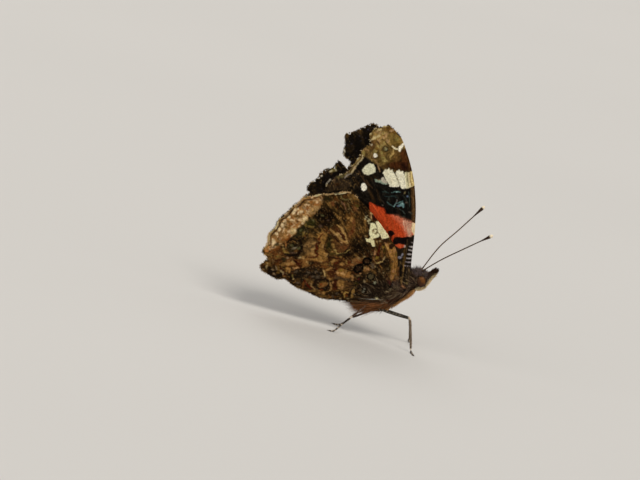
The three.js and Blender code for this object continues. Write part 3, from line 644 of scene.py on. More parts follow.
    # Clean pale marks
    p.line("ddd2ae", [(391.6, 147.7), (394.4, 149.3), (397.2, 150)], 1.9, 0.8, 0.95, 0.3)
    p.line("f0e9d3", [(398.9, 151.6), (399.4, 149.2), (401.2, 147), (402.2, 144.8)], 2.7, 0.8, 1, 0.3)
    p.spot("dfd9c6", (375.1, 156), (1.9, 1.9), 0, 0.8)
    p.spot("e0dccb", (363.4, 187.2), (2.9, 3.7), 10, 0.8)
    p.patches(BAR_PATCHES, 0.9, 0.97)
    p.spots(BAR_SPOTS, 1.6, 0.5)
    p.lines(BAR_LINES, 0.9, 0.8, 0.2)
    p.lines(SCRIBBLE_LINES, 1.1, 0.75)
    p.spots(SCRIBBLE_SPOTS, 1.2, 0.8)
    costal_bars(p)
    return p.colour


def fresh_forewing_under(chart, rim, seed):
    return forewing_under(chart, rim, seed, worn=False)


def forewing_over(chart, rim, seed):
    """Black, with the red band, white spots and worn brown scales along the rim."""
    p = Paint(chart, FOREWING_FAN, "110d09", seed, 0.6)
    x, y = chart.T
    p.patch("3b2a18", [(420, 290), (370, 290), (356, 255), (372, 225), (390, 238), (416, 245)], 8, 0.85)
    p.streaks("2b2011", 6, 2.0, 0.1, 0.7, 0.7, 1)
    p.flecks("3a2c18", 2.2, 0.2, 0.8, 0.6 * ramp(9 - rim, 0, 6), 2)
    # Grey-violet flecks all over the black: painted sheen on the scales.
    p.flecks("343038", 1.6, 0.45, 0.9, 0.6, 3)
    p.patch("b8441f", [(348, 196), (356, 200), (371, 206), (384, 211), (398, 219), (412, 225), (411, 236),
                       (396, 233), (384, 226), (368, 215), (350, 205)], 1.2)
    p.patch("e4dec8", [(386, 172.8), (391, 169.5), (398.3, 170.2), (404, 172.5), (408, 188), (398, 188.5),
                       (390, 186)], 1)
    for centre, radii in (((375, 171), (4.6, 4.4)), ((368, 188), (2.2, 2.6)), ((383, 160), (2.0, 2.0))):
        p.spot("e4dec8", centre, radii, 15, 0.9)
    # Ribs of golden scales that reach the rim
    p.streaks("5a4222", 5, 0.9, 0.3, 0.8, 0.6 * ramp(12 - rim, 0, 10), 4)
    p.flecks("a58a55", 0.8, 0.65, 1.0, 0.6 * ramp(8 - rim, 0, 6), 5)
    # Worn brown scales along the rim, with a few white ones left between its points
    worn_off = rough_noise(x / 3, y / 3, seed + 21)
    p.lay("67502e", ramp(1.3 - rim, 0, 1.2) * ramp(worn_off, -0.2, 0.3) * 0.9 * (x < 398))
    for at, size in (((362, 147.6), (0.9, 2.0)), ((361, 151), (0.9, 1.6)), ((343.4, 163.6), (2.2, 1.0)),
                     ((333, 170), (1.0, 2.0)), ((328.3, 173.8), (2.2, 1.0)), ((349.6, 161.2), (1.8, 1.0)),
                     ((394.2, 124.6), (1.4, 0.8)), ((336.4, 169.6), (1.0, 0.8)), ((386, 126.4), (1.2, 0.8))):
        p.spot("d5ccb4", at, size, 20, 1.0, 0.95)
    p.patch("6f6338", [(346, 163), (350, 160), (353, 163), (351, 167), (347, 168)], 1.6, 0.85)
    p.spot("b8ad86", (346.6, 166.6), (1.8, 0.9), 20, 1.0, 0.9)
    p.spot("b8ad86", (351.6, 165.6), (0.9, 1.0), 0, 1.0, 0.9)
    p.line("aaa290", [(344.6, 174.6), (342.4, 176.6), (340.4, 178.8)], 1.7, 1.0, 0.9, 0.3)
    p.mottle(1.4, 0.4, 7)
    return p.colour


# The hindwing's underside: wide fields, the edges between them, then small marks, all in chart units.
HINDWING_FIELDS = (
    ("352813", (322, 196), (336, 193), (352, 192), (374, 214), (372, 238), (354, 258), (332, 257),
     (326, 234), (318, 210)),
    ("2c2412", (318, 207), (336, 206), (338, 224), (324, 232), (309, 240), (303, 258), (284, 258),
     (281, 246), (290, 238), (296, 231), (303, 223), (312, 213)),
    ("4f351a", (266, 245), (282, 245), (286, 262), (270, 262), (263, 252)),
    ("4b2f17", (284, 258), (330, 257), (352, 256), (353, 281), (332, 278), (322, 268), (300, 266),
     (284, 267)),
    ("292017", (291, 268), (318, 267), (325, 275), (320, 279), (311, 283), (300, 285), (292, 281),
     (287, 273)),
    ("211910", (352, 258), (372, 248), (392, 262), (398, 282), (388, 302), (352, 302), (344, 291),
     (352, 278)),
    ("2a1f10", (299, 282), (340, 289), (354, 292), (353, 302), (313, 302)),
    ("1d1509", (255, 260), (273, 261), (290, 275), (293, 281), (266, 279)),
)
HINDWING_BAND = [
    (300, 194), (321, 192), (322, 203), (317, 212), (309, 217), (303, 224), (296, 234), (286, 239),
    (281, 246), (271, 250), (260, 248), (262, 233), (272, 215), (286, 204),
]
HINDWING_PATCHES = (
    ("c3ac7a", (303, 216), (307, 217), (309, 220), (305, 223), (301, 222)),
    ("c4ab78", (292, 228), (296, 227), (297, 232), (293, 235), (290, 234)),
    ("96764a", (311, 206), (318, 204), (319, 210), (313, 214), (308, 214)),
    ("120a05", (318, 209), (330, 208), (334, 213), (333, 222), (326, 226), (318, 224), (314, 217)),
    ("3d391d", (305, 222), (309, 219), (316, 219), (317, 224), (312, 228), (306, 227)),
    ("2f2d19", (297, 229), (302, 226), (307, 229), (306, 234), (300, 237), (296, 234)),
    ("6c5636", (305, 243), (312, 238), (318, 242), (317, 247), (315, 250), (315, 254), (311, 256),
     (305, 254), (303, 250), (303, 246)),
    ("86673b", (308, 252), (314, 250), (316, 254), (313, 258), (307, 258)),
    ("8c6c3b", (317, 234), (322, 231), (327, 233), (326, 240), (325, 248), (328, 255), (327, 260),
     (320, 262), (312, 260), (308, 258), (318, 257), (318, 250), (320, 243), (318, 239)),
    ("3a3214", (326, 238), (331, 236), (333, 246), (337, 254), (330, 256), (326, 248)),
    ("563a1f", (330, 240), (338, 238), (345, 244), (351, 243), (351, 249), (344, 254), (336, 253),
     (331, 247)),
    ("4a3118", (329.6, 229), (336, 224.6), (342.4, 226), (348.6, 236), (350, 243.6), (345, 245.4),
     (338, 241.4), (332, 235.6)),
    ("5f4420", (346, 214), (352, 214), (356, 222), (355, 236), (350, 238), (346, 228)),
    ("0e0604", (338, 255), (344, 253.6), (350, 250), (353, 244), (357, 246), (356, 254), (348, 256.6),
     (340, 257)),
    ("96703c", (336, 270), (341, 268), (347, 271), (351, 272), (350, 277), (342, 277), (336, 275)),
    ("90703f", (337.5, 279), (343, 280), (346.6, 283), (345.6, 287), (341, 290), (337.5, 289)),
    ("4a3620", (344, 281), (352, 283), (351, 289), (344, 289)),
    ("381509", (333, 276), (337, 276), (337.5, 283), (337, 290), (333, 289)),
    ("8e683a", (302, 260), (308, 258), (313, 261), (310, 266), (303, 267)),
    ("390c06", (295, 259), (298, 261), (302, 263), (301, 266), (296, 265)),
    ("5c4024", (284, 255), (292, 254), (295, 259), (290, 261), (285, 261)),
    ("a07848", (285.4, 262.4), (289, 260.6), (292, 262), (295.4, 263.4), (294, 265.8), (288, 266)),
    ("14100a", (307, 261), (312, 260), (315, 263), (311, 265), (308, 264)),
    ("120a05", (319, 269), (322, 269), (323.6, 272), (322, 275), (319, 273)),
    ("3a1c0c", (329, 268), (335, 264), (337, 268), (336, 275), (331, 277), (328, 274)),
    ("463a2b", (334, 276.6), (342, 277), (351, 279), (351, 281.6), (343, 280.4), (334, 279)),
    ("86683a", (304, 279), (310, 279), (313, 282), (311, 287), (307, 283)),
    ("140b06", (316, 277), (326, 278), (331, 284), (330, 289), (322, 291), (313, 288), (313, 283)),
    ("75562f", (319, 282), (326, 282), (328, 286), (323, 288.6), (318, 287)),
    ("97733f", (385, 244), (390, 243), (395.6, 247), (398.4, 258), (398.6, 268), (396, 281), (389.6, 280),
     (391, 268), (387, 256)),
    ("332915", (383, 259), (390.6, 258), (391.6, 264), (390, 272), (383, 273)),
    ("735631", (362, 268), (367, 266), (370, 269), (367, 273), (362, 274)),
    ("7d5c38", (352, 260), (358, 257), (362, 259), (359, 264), (353, 266)),
    ("1c140b", (351, 243), (356, 237), (368, 238), (372, 248), (366, 256), (357, 255), (352, 250)),
)
# The darkest places: a row of round spots along the band, and the hollows between the pale patches
HINDWING_DARKS = (
    ("090603", (329, 216.2, 5.6, 5.4), (320.2, 213.6, 2.6, 4.8), (355.2, 244.6, 3.2, 6.8, 10),
     (345, 254, 6, 1.5, 15), (299.6, 249.4, 2.2, 4.6, -20), (292, 254.6, 6.4, 1.5), (363, 247, 5, 5.4),
     (288.6, 240.8, 4.4, 1.4, 20)),
    ("191a0b", (313, 223.4, 4.8, 3.9), (301.4, 231.6, 4, 4.6, 30), (329.4, 243.4, 2.3, 4.8),
     (290.8, 247, 6, 4.6), (327.4, 199.6, 3.6, 3.2)),
    ("1c1610", (302, 272.4, 8.4, 4.2), (315.4, 273.4, 6.4, 3.6), (272.4, 273, 8, 3, -20),
     (308, 283.6, 3, 4.4, -30), (300, 279, 7, 2.6, -20)),
    ("0e0a06", (361, 278, 5.2, 6.6), (366, 289, 8, 7), (380, 280, 5, 8), (386.6, 265, 3.4, 6.8, 8)),
)
HINDWING_WHITES = (
    ("d9d5ab", (370.4, 223.4), (374.4, 223.2), (376, 228), (379.6, 235.6), (377, 237.4), (371, 239),
     (369.6, 235), (369, 230)),
    ("ddd5ab", (375.2, 222.2), (378.4, 220.2), (383.6, 227.4), (389.2, 236), (387.6, 238.6), (381.6, 239),
     (379.6, 235), (377.2, 229.4)),
    ("d8d0a0", (365.4, 239), (369.6, 238), (372, 237), (374, 241.4), (375.2, 246), (372.6, 247),
     (370.8, 243), (366, 241.2)),
    ("2a0c08", (371.8, 216.4), (374.8, 215.2), (377.6, 218.8), (375.6, 220.8), (372.6, 220)),
    ("2a1a0c", (381.4, 239.4), (384, 238.6), (388.8, 238.2), (389, 241.4), (385.6, 243), (382, 242.2)),
)
WHITE_SPOTS = (
    ("776036", (373.4, 231, 1.1, 1.1), (375.6, 229.4, 1.1, 0.7), (377.4, 232.4, 0.8, 1),
     (375.4, 233.2, 1.2, 0.6)),
    ("a8996a", (381.4, 227.4, 0.9, 0.6), (383, 231, 0.8, 1), (386.4, 235.4, 0.8, 1),
     (380.6, 232.4, 0.6, 1), (372, 226.4, 0.5, 0.8), (384.6, 228.8, 0.7, 0.6)),
    ("1c0d06", (391.2, 246.8, 2.9, 2.8, -10)),
)
WHITE_LINES = (
    ("ddd0a2", 2.2, (334.6, 193.8), (339, 193.8), (343, 193.4), (348.4, 192)),
    ("b9ad84", 1.5, (312, 195.6), (316, 195.4), (320.6, 194)),
    ("3d3018", 0.9, (374.8, 222.4), (377, 229.4), (380.2, 237)),
    ("54401f", 0.8, (372.8, 231), (374.4, 228.6), (377, 229.6), (377.6, 232.4), (375, 234), (372.8, 232.4)),
)
HINDWING_LINES = (
    ("4a3012", 1.3, (271.4, 245), (271.2, 238.6), (273, 233.6), (277.6, 228.4), (280, 226.6),
     (280.6, 222.4), (283, 219.4), (286.4, 216.4), (288.6, 213.8), (291.2, 212), (293, 208.6),
     (297, 205.6), (301, 203.4), (305, 201.6), (311, 199.4)),
    ("4a1a08", 1.7, (323, 233.6), (319.8, 236), (318.6, 239), (320.4, 242.6), (317.2, 244), (316.4, 247),
     (317.4, 248.8), (315.4, 250), (316, 252.4), (318.4, 254), (317.6, 255.8), (313, 256.6), (308.4, 257)),
    ("24120a", 1.6, (327.4, 238.6), (325.4, 244), (324.4, 248.4), (326.2, 251.4), (328.2, 254), (328, 258),
     (330, 262.4)),
    ("0d0705", 2.2, (297, 241.6), (300.6, 239.8), (304.6, 237.6)),
    ("0f0805", 3, (300.6, 241), (302.2, 246), (301.4, 251), (297, 254.6), (290.6, 255.8), (285.6, 254)),
    ("0f0805", 1.8, (286.4, 243), (289.4, 240.2), (294, 239.8), (299, 241.4)),
    ("0f0805", 1.6, (323.6, 224.8), (329, 225)),
    ("28150a", 1.6, (327, 256.4), (333, 257.6), (340, 259.2)),
    ("a8985e", 1.3, (333.6, 249), (335.6, 250.4), (336.8, 253), (338.6, 254.4), (341.4, 253.6),
     (345.4, 252.4), (349, 250)),
    ("b39d6a", 1.5, (323.4, 269.4), (325, 272.6), (325.2, 276)),
    ("3a1606", 1.5, (280.6, 267.4), (284, 271), (286, 275.6)),
    ("4a2a0a", 1.3, (283.4, 264.6), (288, 266.4), (295, 265.8), (301, 267.4)),
    ("a5804a", 2.2, (286.4, 267.4), (289.4, 269), (289.6, 272.4)),
    ("a8865c", 1.4, (292.6, 268), (296.4, 267.2), (300, 267.8)),
    ("4a1408", 2, (304.6, 280.4), (307.6, 284.4), (310.8, 289)),
    ("866f4c", 1.5, (311.2, 283), (311.8, 286.6), (314.4, 289.4)),
    ("96794c", 1.8, (329, 278.2), (329.2, 282), (331.4, 286), (331.8, 288.4), (329.6, 290.4)),
    ("a5884c", 1.8, (344.4, 297.6), (344, 294.4), (345.6, 292), (348, 292.8)),
    ("9a7d48", 2.8, (354.2, 289), (353, 292.4), (351, 297)),
    ("160e08", 1.2, (347.6, 298), (349.6, 294), (350.4, 290), (353, 287.4)),
    ("160e08", 1.2, (341.6, 296), (342.4, 299)),
    ("b8995c", 1.5, (385.4, 244.6), (388, 249.6)),
    ("5a3d1c", 0.9, (392.4, 252), (394.6, 262), (394, 274)),
    ("6b4a24", 1, (390, 262), (391.8, 270), (391, 278)),
    ("3a2410", 1.5, (386.4, 250), (388.8, 258), (390.2, 267)),
    ("6a4a22", 0.8, (396, 256), (397, 266), (396, 276)),
    ("3a0d04", 1.9, (379.4, 245.4), (378.6, 250), (377.4, 256)),
    ("2c170a", 1.2, (375.4, 246.6), (373.2, 250.6), (372, 256)),
    ("9c8c68", 1.4, (384.8, 256.6), (382.4, 260.6)),
    ("ad9c68", 1.7, (382, 261.4), (378.8, 262.8), (376.4, 263.8)),
    ("120a06", 2, (386, 259.6), (383.4, 263), (379.4, 265)),
    ("120a06", 1.7, (376.4, 266), (377.2, 271), (376, 276)),
    ("a0a080", 1.3, (374.8, 282.6), (375.9, 285.6)),
    ("b39a6c", 1.6, (386.6, 291), (388.6, 291.7), (390.6, 290), (391.8, 288.8), (389.4, 286.4)),
    ("5c5040", 1.3, (369, 289.6), (372.4, 294.6)),
    ("6a5a44", 1.5, (387, 296.6), (392, 295)),
    ("140a04", 1.2, (336.6, 195.4), (343, 195), (347.6, 194)),
    ("6b6440", 1.3, (340, 196.6), (343, 199.4), (347, 200), (351, 199)),
    ("7a5a48", 1.4, (341, 202.6), (344, 205), (345, 209.4)),
    ("6b5d3c", 1.1, (347, 203.6), (349.6, 208), (353, 212)),
    ("b09c6e", 1.4, (311.6, 195.4), (315.6, 195.4), (319, 194)),
    ("5c2c14", 1.5, (364.6, 262), (360.6, 262.4), (356, 262)),
)
HINDWING_RINGS = (
    (("040201", "2c1c11"), (366.8, 261.4), (4.7, 4.6), 2.2, 0, 0.95),
    (("040201", "24170e"), (358.2, 268.4), (5.6, 4.4), 2.2, 24, 0.95),
    (("060302", "4c422c"), (370.6, 276.8), (4.1, 4.4), 1.5, 0, 0.95),
    (("1c1109", "50351a"), (322.4, 283.8), (7.4, 5.4), 1.5, 14, 0),
)
# A pale V across the middle, with a rusty tongue between its arms
V_LINES = (
    ("8c6b3c", 2.2, (329.8, 229.4), (334.6, 233), (339.6, 238), (346, 243.4)),
    ("9c7a46", 2.4, (337.4, 225.4), (341.2, 228.4), (344.4, 234), (347.4, 242.6)),
    ("3c1c0c", 2, (336.4, 229.4), (340, 232.4), (343, 237), (345.4, 240.4)),
    ("b5945e", 1.1, (335, 233.4), (337, 235.4), (339, 233.8), (341, 237)),
    ("150b05", 1.6, (350.6, 243.4), (349, 248.4), (343.6, 253), (337.6, 255.4)),
    ("150b05", 1.4, (331.4, 233.6), (336.4, 239.4), (342, 244.6)),
)
HINDWING_SPOTS = (
    ("cdbf93", (288.6, 209.6, 2.4, 1, 40), (286.2, 212.4, 1.7, 0.9, 40), (299.4, 200.6, 1.9, 1, 30),
     (277.4, 218.6, 0.9, 1), (277.6, 223.4, 1.2, 2.4), (269, 238.4, 1, 3.2), (275, 227.6, 2.2, 1, 35),
     (266.4, 244.4, 1.6, 1.1, 40), (302.4, 197.4, 1.1, 1.4), (269.4, 232.6, 1.2, 1.2)),
    ("7a6a36", (282, 215.8, 2.4, 1, 25), (279.4, 218.4, 1.7, 1.4), (294, 205.8, 2.6, 1, 20),
     (272, 231.4, 1.8, 1.2), (268.6, 233.4, 1, 1.8), (306, 196.6, 1.6, 1.8)),
    ("dcc59a", (293.4, 212.4, 1.6, 2.2, -20), (289.4, 217.4, 1.6, 1.4), (282.6, 225.4, 1.8, 2.2),
     (279.4, 229.4, 1.6, 2), (273.4, 242, 1.5, 2.4), (285, 221.6, 1.6, 1, 20),
     (301.4, 212.4, 1.6, 1.2, 20), (298.4, 209.4, 1.2, 0.9), (298.4, 214.2, 0.9, 0.9),
     (276.6, 233.6, 1.6, 1.8, 30), (304.4, 218.6, 2, 1.2), (291.6, 220.2, 1.3, 0.9),
     (295.4, 210.2, 1.2, 1.2), (302.6, 223.8, 1.1, 1.1), (295.4, 230.6, 1.2, 1.4)),
    ("7a4a20", (292, 218, 1.2, 1.5), (291, 224.4, 2.2, 1.2, -10), (296.6, 224.2, 1.6, 0.9),
     (289.4, 235.6, 1.4, 2.2), (286.6, 239, 2.6, 1), (283, 239.4, 2, 1.4), (316, 204.4, 3, 1.3),
     (311.4, 202.4, 1.6, 1), (315.8, 198, 1.4, 1.2), (307.4, 208.6, 1.2, 1.6), (294.6, 227, 1.1, 1.6),
     (279, 237.4, 1, 1.4)),
    ("54401a", (296.6, 216.2, 2.6, 0.9, -5), (298.6, 218.4, 1.8, 0.9, 20), (286.4, 227.4, 1.6, 1.4),
     (302.4, 208, 0.8, 1.2), (278.4, 239, 0.9, 1.2), (304.6, 203.4, 1.6, 0.8), (285.4, 223, 0.9, 1.6),
     (308, 203.4, 2, 1.1, -10), (313.4, 212, 1.4, 0.8)),
    ("b07c48", (286.4, 243.4, 1, 2.6), (266.8, 250.6, 1.6, 1.6), (268.6, 247.6, 1, 1.4)),
    ("7c6c38", (284.4, 250, 1.2, 2.4, 20), (287.4, 253, 2.2, 0.9, -20), (305.6, 225.6, 1.6, 1.4),
     (310.6, 226.4, 2.6, 1), (303.8, 234, 1, 2, -20), (307.4, 233.4, 0.7, 0.8)),
    ("2c2c0e", (313, 222.6, 2, 1.8), (309.6, 222.4, 1.4, 1.4), (301, 231, 2, 2.6, 20)),
    ("575a3c", (312.6, 220.4, 1.4, 0.8, -30), (301.2, 230.4, 0.9, 1.4, 20), (322.6, 215.2, 1.4, 0.8),
     (298.4, 248.4, 1.6, 1.2, 30), (291.8, 245.8, 1.8, 1.2)),
    ("77776a", (294.4, 247.8, 1.6, 1.1, 20), (292.6, 249, 0.9, 0.7), (296, 246.8, 0.8, 0.6)),
    ("2b2414", (291.4, 250.6, 3.4, 1.4), (289.4, 246.4, 1.4, 2)),
    ("4a3c34", (320.8, 226, 2, 1.4), (292.4, 252.4, 3.4, 0.8), (327.6, 220.6, 1.2, 0.9)),
    ("a58a5c", (283.4, 245.4, 0.9, 1), (284.4, 248.4, 0.8, 0.8), (335.6, 234, 1.2, 0.8)),
    ("2e2c18", (277.6, 244.6, 2.4, 1.5), (284, 259.4, 2.4, 1.6), (297, 236, 2.4, 1.2, 30)),
    ("6d6437", (264.6, 247.6, 2, 1.6, 30), (277.6, 256.2, 1.4, 0.9), (292.8, 276, 1, 1.6)),
    ("453d0f", (263.6, 251.4, 1.8, 0.8), (275, 245.6, 0.9, 0.9)),
    ("2a0f08", (280, 259.6, 2.2, 1.4), (276.6, 260.6, 2, 1), (274, 247, 1.6, 1)),
    ("6b431f", (276, 249.4, 2.6, 1.3), (271.4, 252, 1.5, 1.5), (278.8, 247.6, 1.4, 1),
     (275.6, 253.6, 2.4, 1), (303.6, 284, 1.2, 2.2), (324, 266.6, 3, 1.2)),
    ("a88a58", (313, 248.6, 2.6, 1.2), (312.6, 252.4, 1.2, 2), (303, 258, 2, 1.2), (315, 254.8, 1.4, 1),
     (307, 261.8, 1.4, 1.1), (293.4, 262.4, 1.8, 1.2, -40), (288, 263.8, 2, 0.9), (326.6, 255, 1, 1.8),
     (320.6, 261.4, 1.6, 0.8), (323.4, 246.4, 1.6, 1.6), (313.6, 243.4, 2.2, 1.2)),
    ("bd9a68", (339, 233.4, 2.2, 1.1), (337, 235.4, 1.6, 0.8), (345.8, 241.4, 1.4, 1, 40),
     (337.4, 272.8, 1.5, 1.3), (342.6, 273.6, 2.4, 1.2, -30), (341.4, 242.4, 1.2, 1)),
    ("4e1e0c", (341.4, 236, 1, 1.4), (336.4, 262.6, 2.2, 1.1, 20), (348.4, 262.6, 2.2, 0.9, 20),
     (336.4, 269, 1.2, 1), (352, 232, 1.4, 2.2), (347.6, 265, 1.4, 0.8, 30)),
    ("6a4528", (350.4, 233.6, 2, 2), (353.6, 228, 1.6, 3), (341, 247.4, 1.6, 1.4), (345.6, 247.8, 1.8, 2),
     (353.4, 221.6, 1.6, 2.6), (333, 204, 2, 2.4)),
    ("87703f", (333.4, 245.8, 1.6, 2, 30), (335.4, 250.2, 1, 0.9), (340.6, 257.4, 1, 0.9),
     (332.4, 264.6, 0.8, 0.8), (346.4, 262.4, 1, 1.8, 20), (332, 240.6, 1.4, 0.8)),
    ("9e7d4a", (332.6, 260.8, 2.6, 1.6, 20), (341.6, 264.4, 2.2, 1.4), (327.6, 269.4, 2.4, 1.4, 30),
     (330.8, 268.4, 1.4, 1, 30), (324, 292.6, 1.8, 1.4, 40), (342.4, 292.2, 0.9, 0.9),
     (332, 251.6, 1.4, 1.2), (351.6, 219.4, 1.2, 2.4), (348.4, 218, 1.4, 1.2)),
    ("94693f", (351.4, 264.8, 1.5, 1.3), (338, 259.4, 1.8, 0.7, 20), (347, 275.6, 1, 0.8),
     (323.4, 286, 1.4, 1), (297, 267.6, 0.9, 0.5)),
    ("7d6a2c", (341, 270.2, 2, 1.2), (377, 257.8, 1.4, 1.4), (382.8, 247, 1.2, 1.2)),
    ("96754c", (352.4, 276.6, 1.6, 1.8), (352.4, 280, 0.9, 1.2), (333.2, 282.8, 1, 1.4),
     (338.2, 282.4, 0.8, 1.4), (341.8, 287, 1.8, 1.4), (338.8, 288, 1.4, 0.8)),
    ("75552f", (320.2, 286.6, 1.4, 0.9), (326.4, 284.8, 1, 1.6, -30), (322.8, 278.6, 1.1, 0.9),
     (327, 279.4, 1, 1), (302.8, 287.8, 1.1, 1), (284.6, 276.6, 1.4, 0.9)),
    ("6a3412", (321, 284, 1.4, 1.2), (346, 295.4, 1, 1.6, 30), (321, 289.6, 1.6, 0.8)),
    ("4a3f1e", (317.6, 285.6, 1.3, 1.3), (321.6, 281.4, 1.6, 0.9), (330, 262.8, 1.4, 1.4)),
    ("574e42", (316.4, 272, 1.8, 1.2), (317.6, 276.8, 2.2, 1.2, 20), (308.4, 272.6, 1.8, 0.8, -30),
     (324.4, 276.4, 1.8, 1), (306.4, 274.6, 1.2, 0.7), (296.4, 271, 1.6, 1), (297.4, 282.6, 2, 1),
     (312.6, 277, 2, 0.8), (333, 296.4, 1.2, 0.9), (336.6, 293.6, 1.6, 0.8), (372.6, 265.6, 1.6, 2.6, 20),
     (363.6, 286.6, 2, 1.4)),
    ("a3946c", (266.6, 266.4, 1, 1.7), (267.4, 263.4, 0.6, 0.8), (283, 272.4, 1.6, 0.9, -35),
     (281, 270.8, 1, 0.9), (293.4, 278.6, 0.8, 0.8), (299.6, 257.4, 1.2, 0.9)),
    ("8c7a60", (276.4, 267.4, 0.8, 2, 20), (272.8, 269.4, 1.2, 1), (283.4, 274.4, 1, 0.9),
     (274.6, 273.6, 1.4, 0.8), (263.6, 268.8, 1, 0.8), (287.4, 257.8, 1.4, 0.9)),
    ("6d5428", (278.4, 267.4, 1.2, 2.4, 15), (263.4, 263, 1.4, 0.9), (278, 272, 1.2, 0.9)),
    ("b7b795", (368.4, 220.6, 1.4, 1.6, -30), (366, 217.6, 1.2, 0.7, -40), (364.6, 219.6, 0.8, 0.9),
     (367.4, 216.2, 0.7, 0.6), (368.8, 223.4, 0.7, 0.8)),
    ("bfa477", (371.6, 213.4, 1.5, 1.4, -40), (373.4, 215.2, 1, 0.6, -40), (370.8, 217, 0.8, 1.6)),
    ("0d0804", (372, 222.2, 1.9, 0.8, -25), (363, 265.4, 1.6, 1.4), (355.4, 251.6, 1.8, 1.8)),
    ("3a2410", (379.4, 238.6, 1.4, 1.4), (376, 239.6, 1.2, 0.9), (381.4, 258.4, 1.2, 1.8, 20)),
    ("8d7c58", (376.4, 241.8, 1, 0.9), (379.6, 240.8, 1.2, 0.8), (365, 236.4, 1.2, 0.9),
     (358.4, 258, 1.4, 1.1), (364, 256.4, 1.4, 1), (364.6, 268, 1.2, 0.8)),
    ("a5805a", (386, 244.2, 2, 0.9, -20), (394.8, 250.4, 1.1, 2, -15), (367.6, 269.6, 1.4, 1.2),
     (390, 252, 1.4, 0.9), (393.6, 270.6, 1.6, 1.8), (391, 277, 1, 1.8), (395, 276.6, 1.2, 2.2),
     (374.6, 252.6, 1.4, 2.6), (360.2, 273.4, 0.8, 0.5)),
    ("271208", (391.4, 246.8, 2.7, 2.6, -10), (386.6, 276.4, 1.4, 1.4), (392, 262, 1, 1.2),
     (354.8, 278.6, 1.2, 1), (349, 293.4, 1.6, 1.8), (357.6, 290.4, 0.9, 1.6)),
    ("504a20", (390.4, 266, 1.4, 2.2), (396.6, 254.4, 0.9, 0.9), (356.4, 206, 1.4, 2, 30)),
    ("35300f", (384, 251.4, 1.3, 2.2), (355.6, 283.4, 2, 1.2), (332, 253.4, 1.4, 1)),
    ("6c4b2c", (381.6, 252.6, 0.9, 3, -5), (373.6, 258.4, 1.2, 1.6), (355, 209, 1.8, 3.4, 30)),
    ("8c8062", (375.4, 267.2, 0.8, 0.9), (383.4, 272.5, 0.9, 0.7), (363.4, 291.4, 1.3, 0.6, 10),
     (364.6, 281.4, 0.9, 1.4), (340.4, 298.6, 0.9, 0.8), (347.6, 299, 1.4, 0.6)),
    ("e6d9a8", (376.8, 297.9, 1.5, 1.1, 15)),
    ("4a1e1c", (389.6, 282.4, 0.9, 1.8), (358.6, 278.6, 0.9, 0.8)),
    ("45424c", (392.4, 283.8, 1, 2.4, 15), (382.4, 285, 1.2, 1)),
    ("6a5a3e", (375.6, 288.4, 2, 0.9), (386, 286.4, 0.9, 1.4), (361, 290, 0.8, 2.2, 20),
     (366.4, 277.6, 0.8, 1.6), (379.6, 270.2, 1, 1.4), (358, 275.4, 1.6, 0.9)),
)


def hindwing_under(chart, rim, seed):
    """Marbled in browns, with a pale band, eyes and rings, white marks and a nearly black base."""
    p = Paint(chart, HINDWING_FAN, "35240f", seed, 0.8)
    x, y = chart.T
    p.patches(HINDWING_FIELDS, 6, 0.85)
    p.streaks("130c05", 8, 2.4, 0.0, 0.5, 0.8, 1)
    p.streaks("86693a", 8, 1.8, 0.15, 0.65, 0.6, 2)
    p.streaks("6a3f1c", 6, 2.4, 0.25, 0.7, 0.4, 3)
    band = p.within(HINDWING_BAND, 3)
    p.lay("90693c", band)
    p.flecks("dcc095", 2.6, 0.0, 0.6, 0.7, 3, band)
    p.flecks("5a3416", 2.4, 0.1, 0.6, 0.75, 4, band)
    p.streaks("4a3414", 5, 2.0, 0.15, 0.6, 0.6, 5, band)
    p.patches(HINDWING_PATCHES, 2.4, 0.85)
    # The hairy base, nearly black
    base = ramp(x, 352, 366) * ramp(y, 266, 277) * ramp(x - 0.2 * y, 340, 332)
    base = np.maximum(base, ramp(x, 350, 358) * ramp(y, 278, 284)) * ramp(rim, 0.8, 2.5)
    p.lay("20170d", base * 0.7)
    p.streaks("6a5840", 5, 1.2, 0.3, 0.7, 0.6, 12, base)
    # Scales of many shades over all of it
    p.shade(5, 1.3, 0.5, 6)
    p.mottle(2.2, 0.4, 7)
    p.streaks("c09658", 3, 0.8, 0.4, 0.9, 0.3, 13)
    p.streaks("120b05", 4, 0.9, 0.2, 0.75, 0.35, 14)
    p.spots(HINDWING_DARKS, 2.4, 0.72)
    p.streaks("5a4526", 4, 1.2, 0.35, 0.8, 0.4, 15)
    p.spots(HINDWING_SPOTS, 1.4, 0.85)
    p.lines(HINDWING_LINES, 1.0, 0.9)
    # The rim, pale and scalloped
    edge = ramp(1.5 - rim, 0, 1.2) * (y < 252) * (x < 352)
    p.lay("b9a878", edge * ramp(rough_noise(x / 3, y / 3, seed + 32), -0.3, 0.3) * 0.8)
    p.lay("1a1209", ramp(1.2 - rim, 0, 1.2) * (y > 257) * 0.7)
    inner = ramp(np.abs(rim - 2.6), 1.0, 0.4) * ramp(rough_noise(x / 5, y / 5, seed + 33), -0.5, 0.0)
    p.lay("2c1a0b", inner * band * (y < 246) * 0.9)
    p.glaze((0.84, 0.74, 0.64), 1 - 0.85 * band)
    for (dark, middle), centre, radii, width, lean, cover in HINDWING_RINGS:
        p.spot(middle, centre, radii, lean, 1.2, cover)
        p.ring(dark, centre, radii, width, lean, 0.6)
    p.lines(V_LINES, 0.9, 0.9, 0.3)
    p.mottle(0.9, 0.35, 8)
    # Pinpoint golden flecks: painted highlights on the ridges of the scales.
    p.flecks("c7a874", 1.2, 0.5, 0.9, 0.18, 10)
    p.patches(HINDWING_WHITES, 0.9, 0.97)
    p.spots(WHITE_SPOTS, 1.0, 0.8)
    p.lines(WHITE_LINES, 0.8, 0.8, 0.2)
    return p.colour


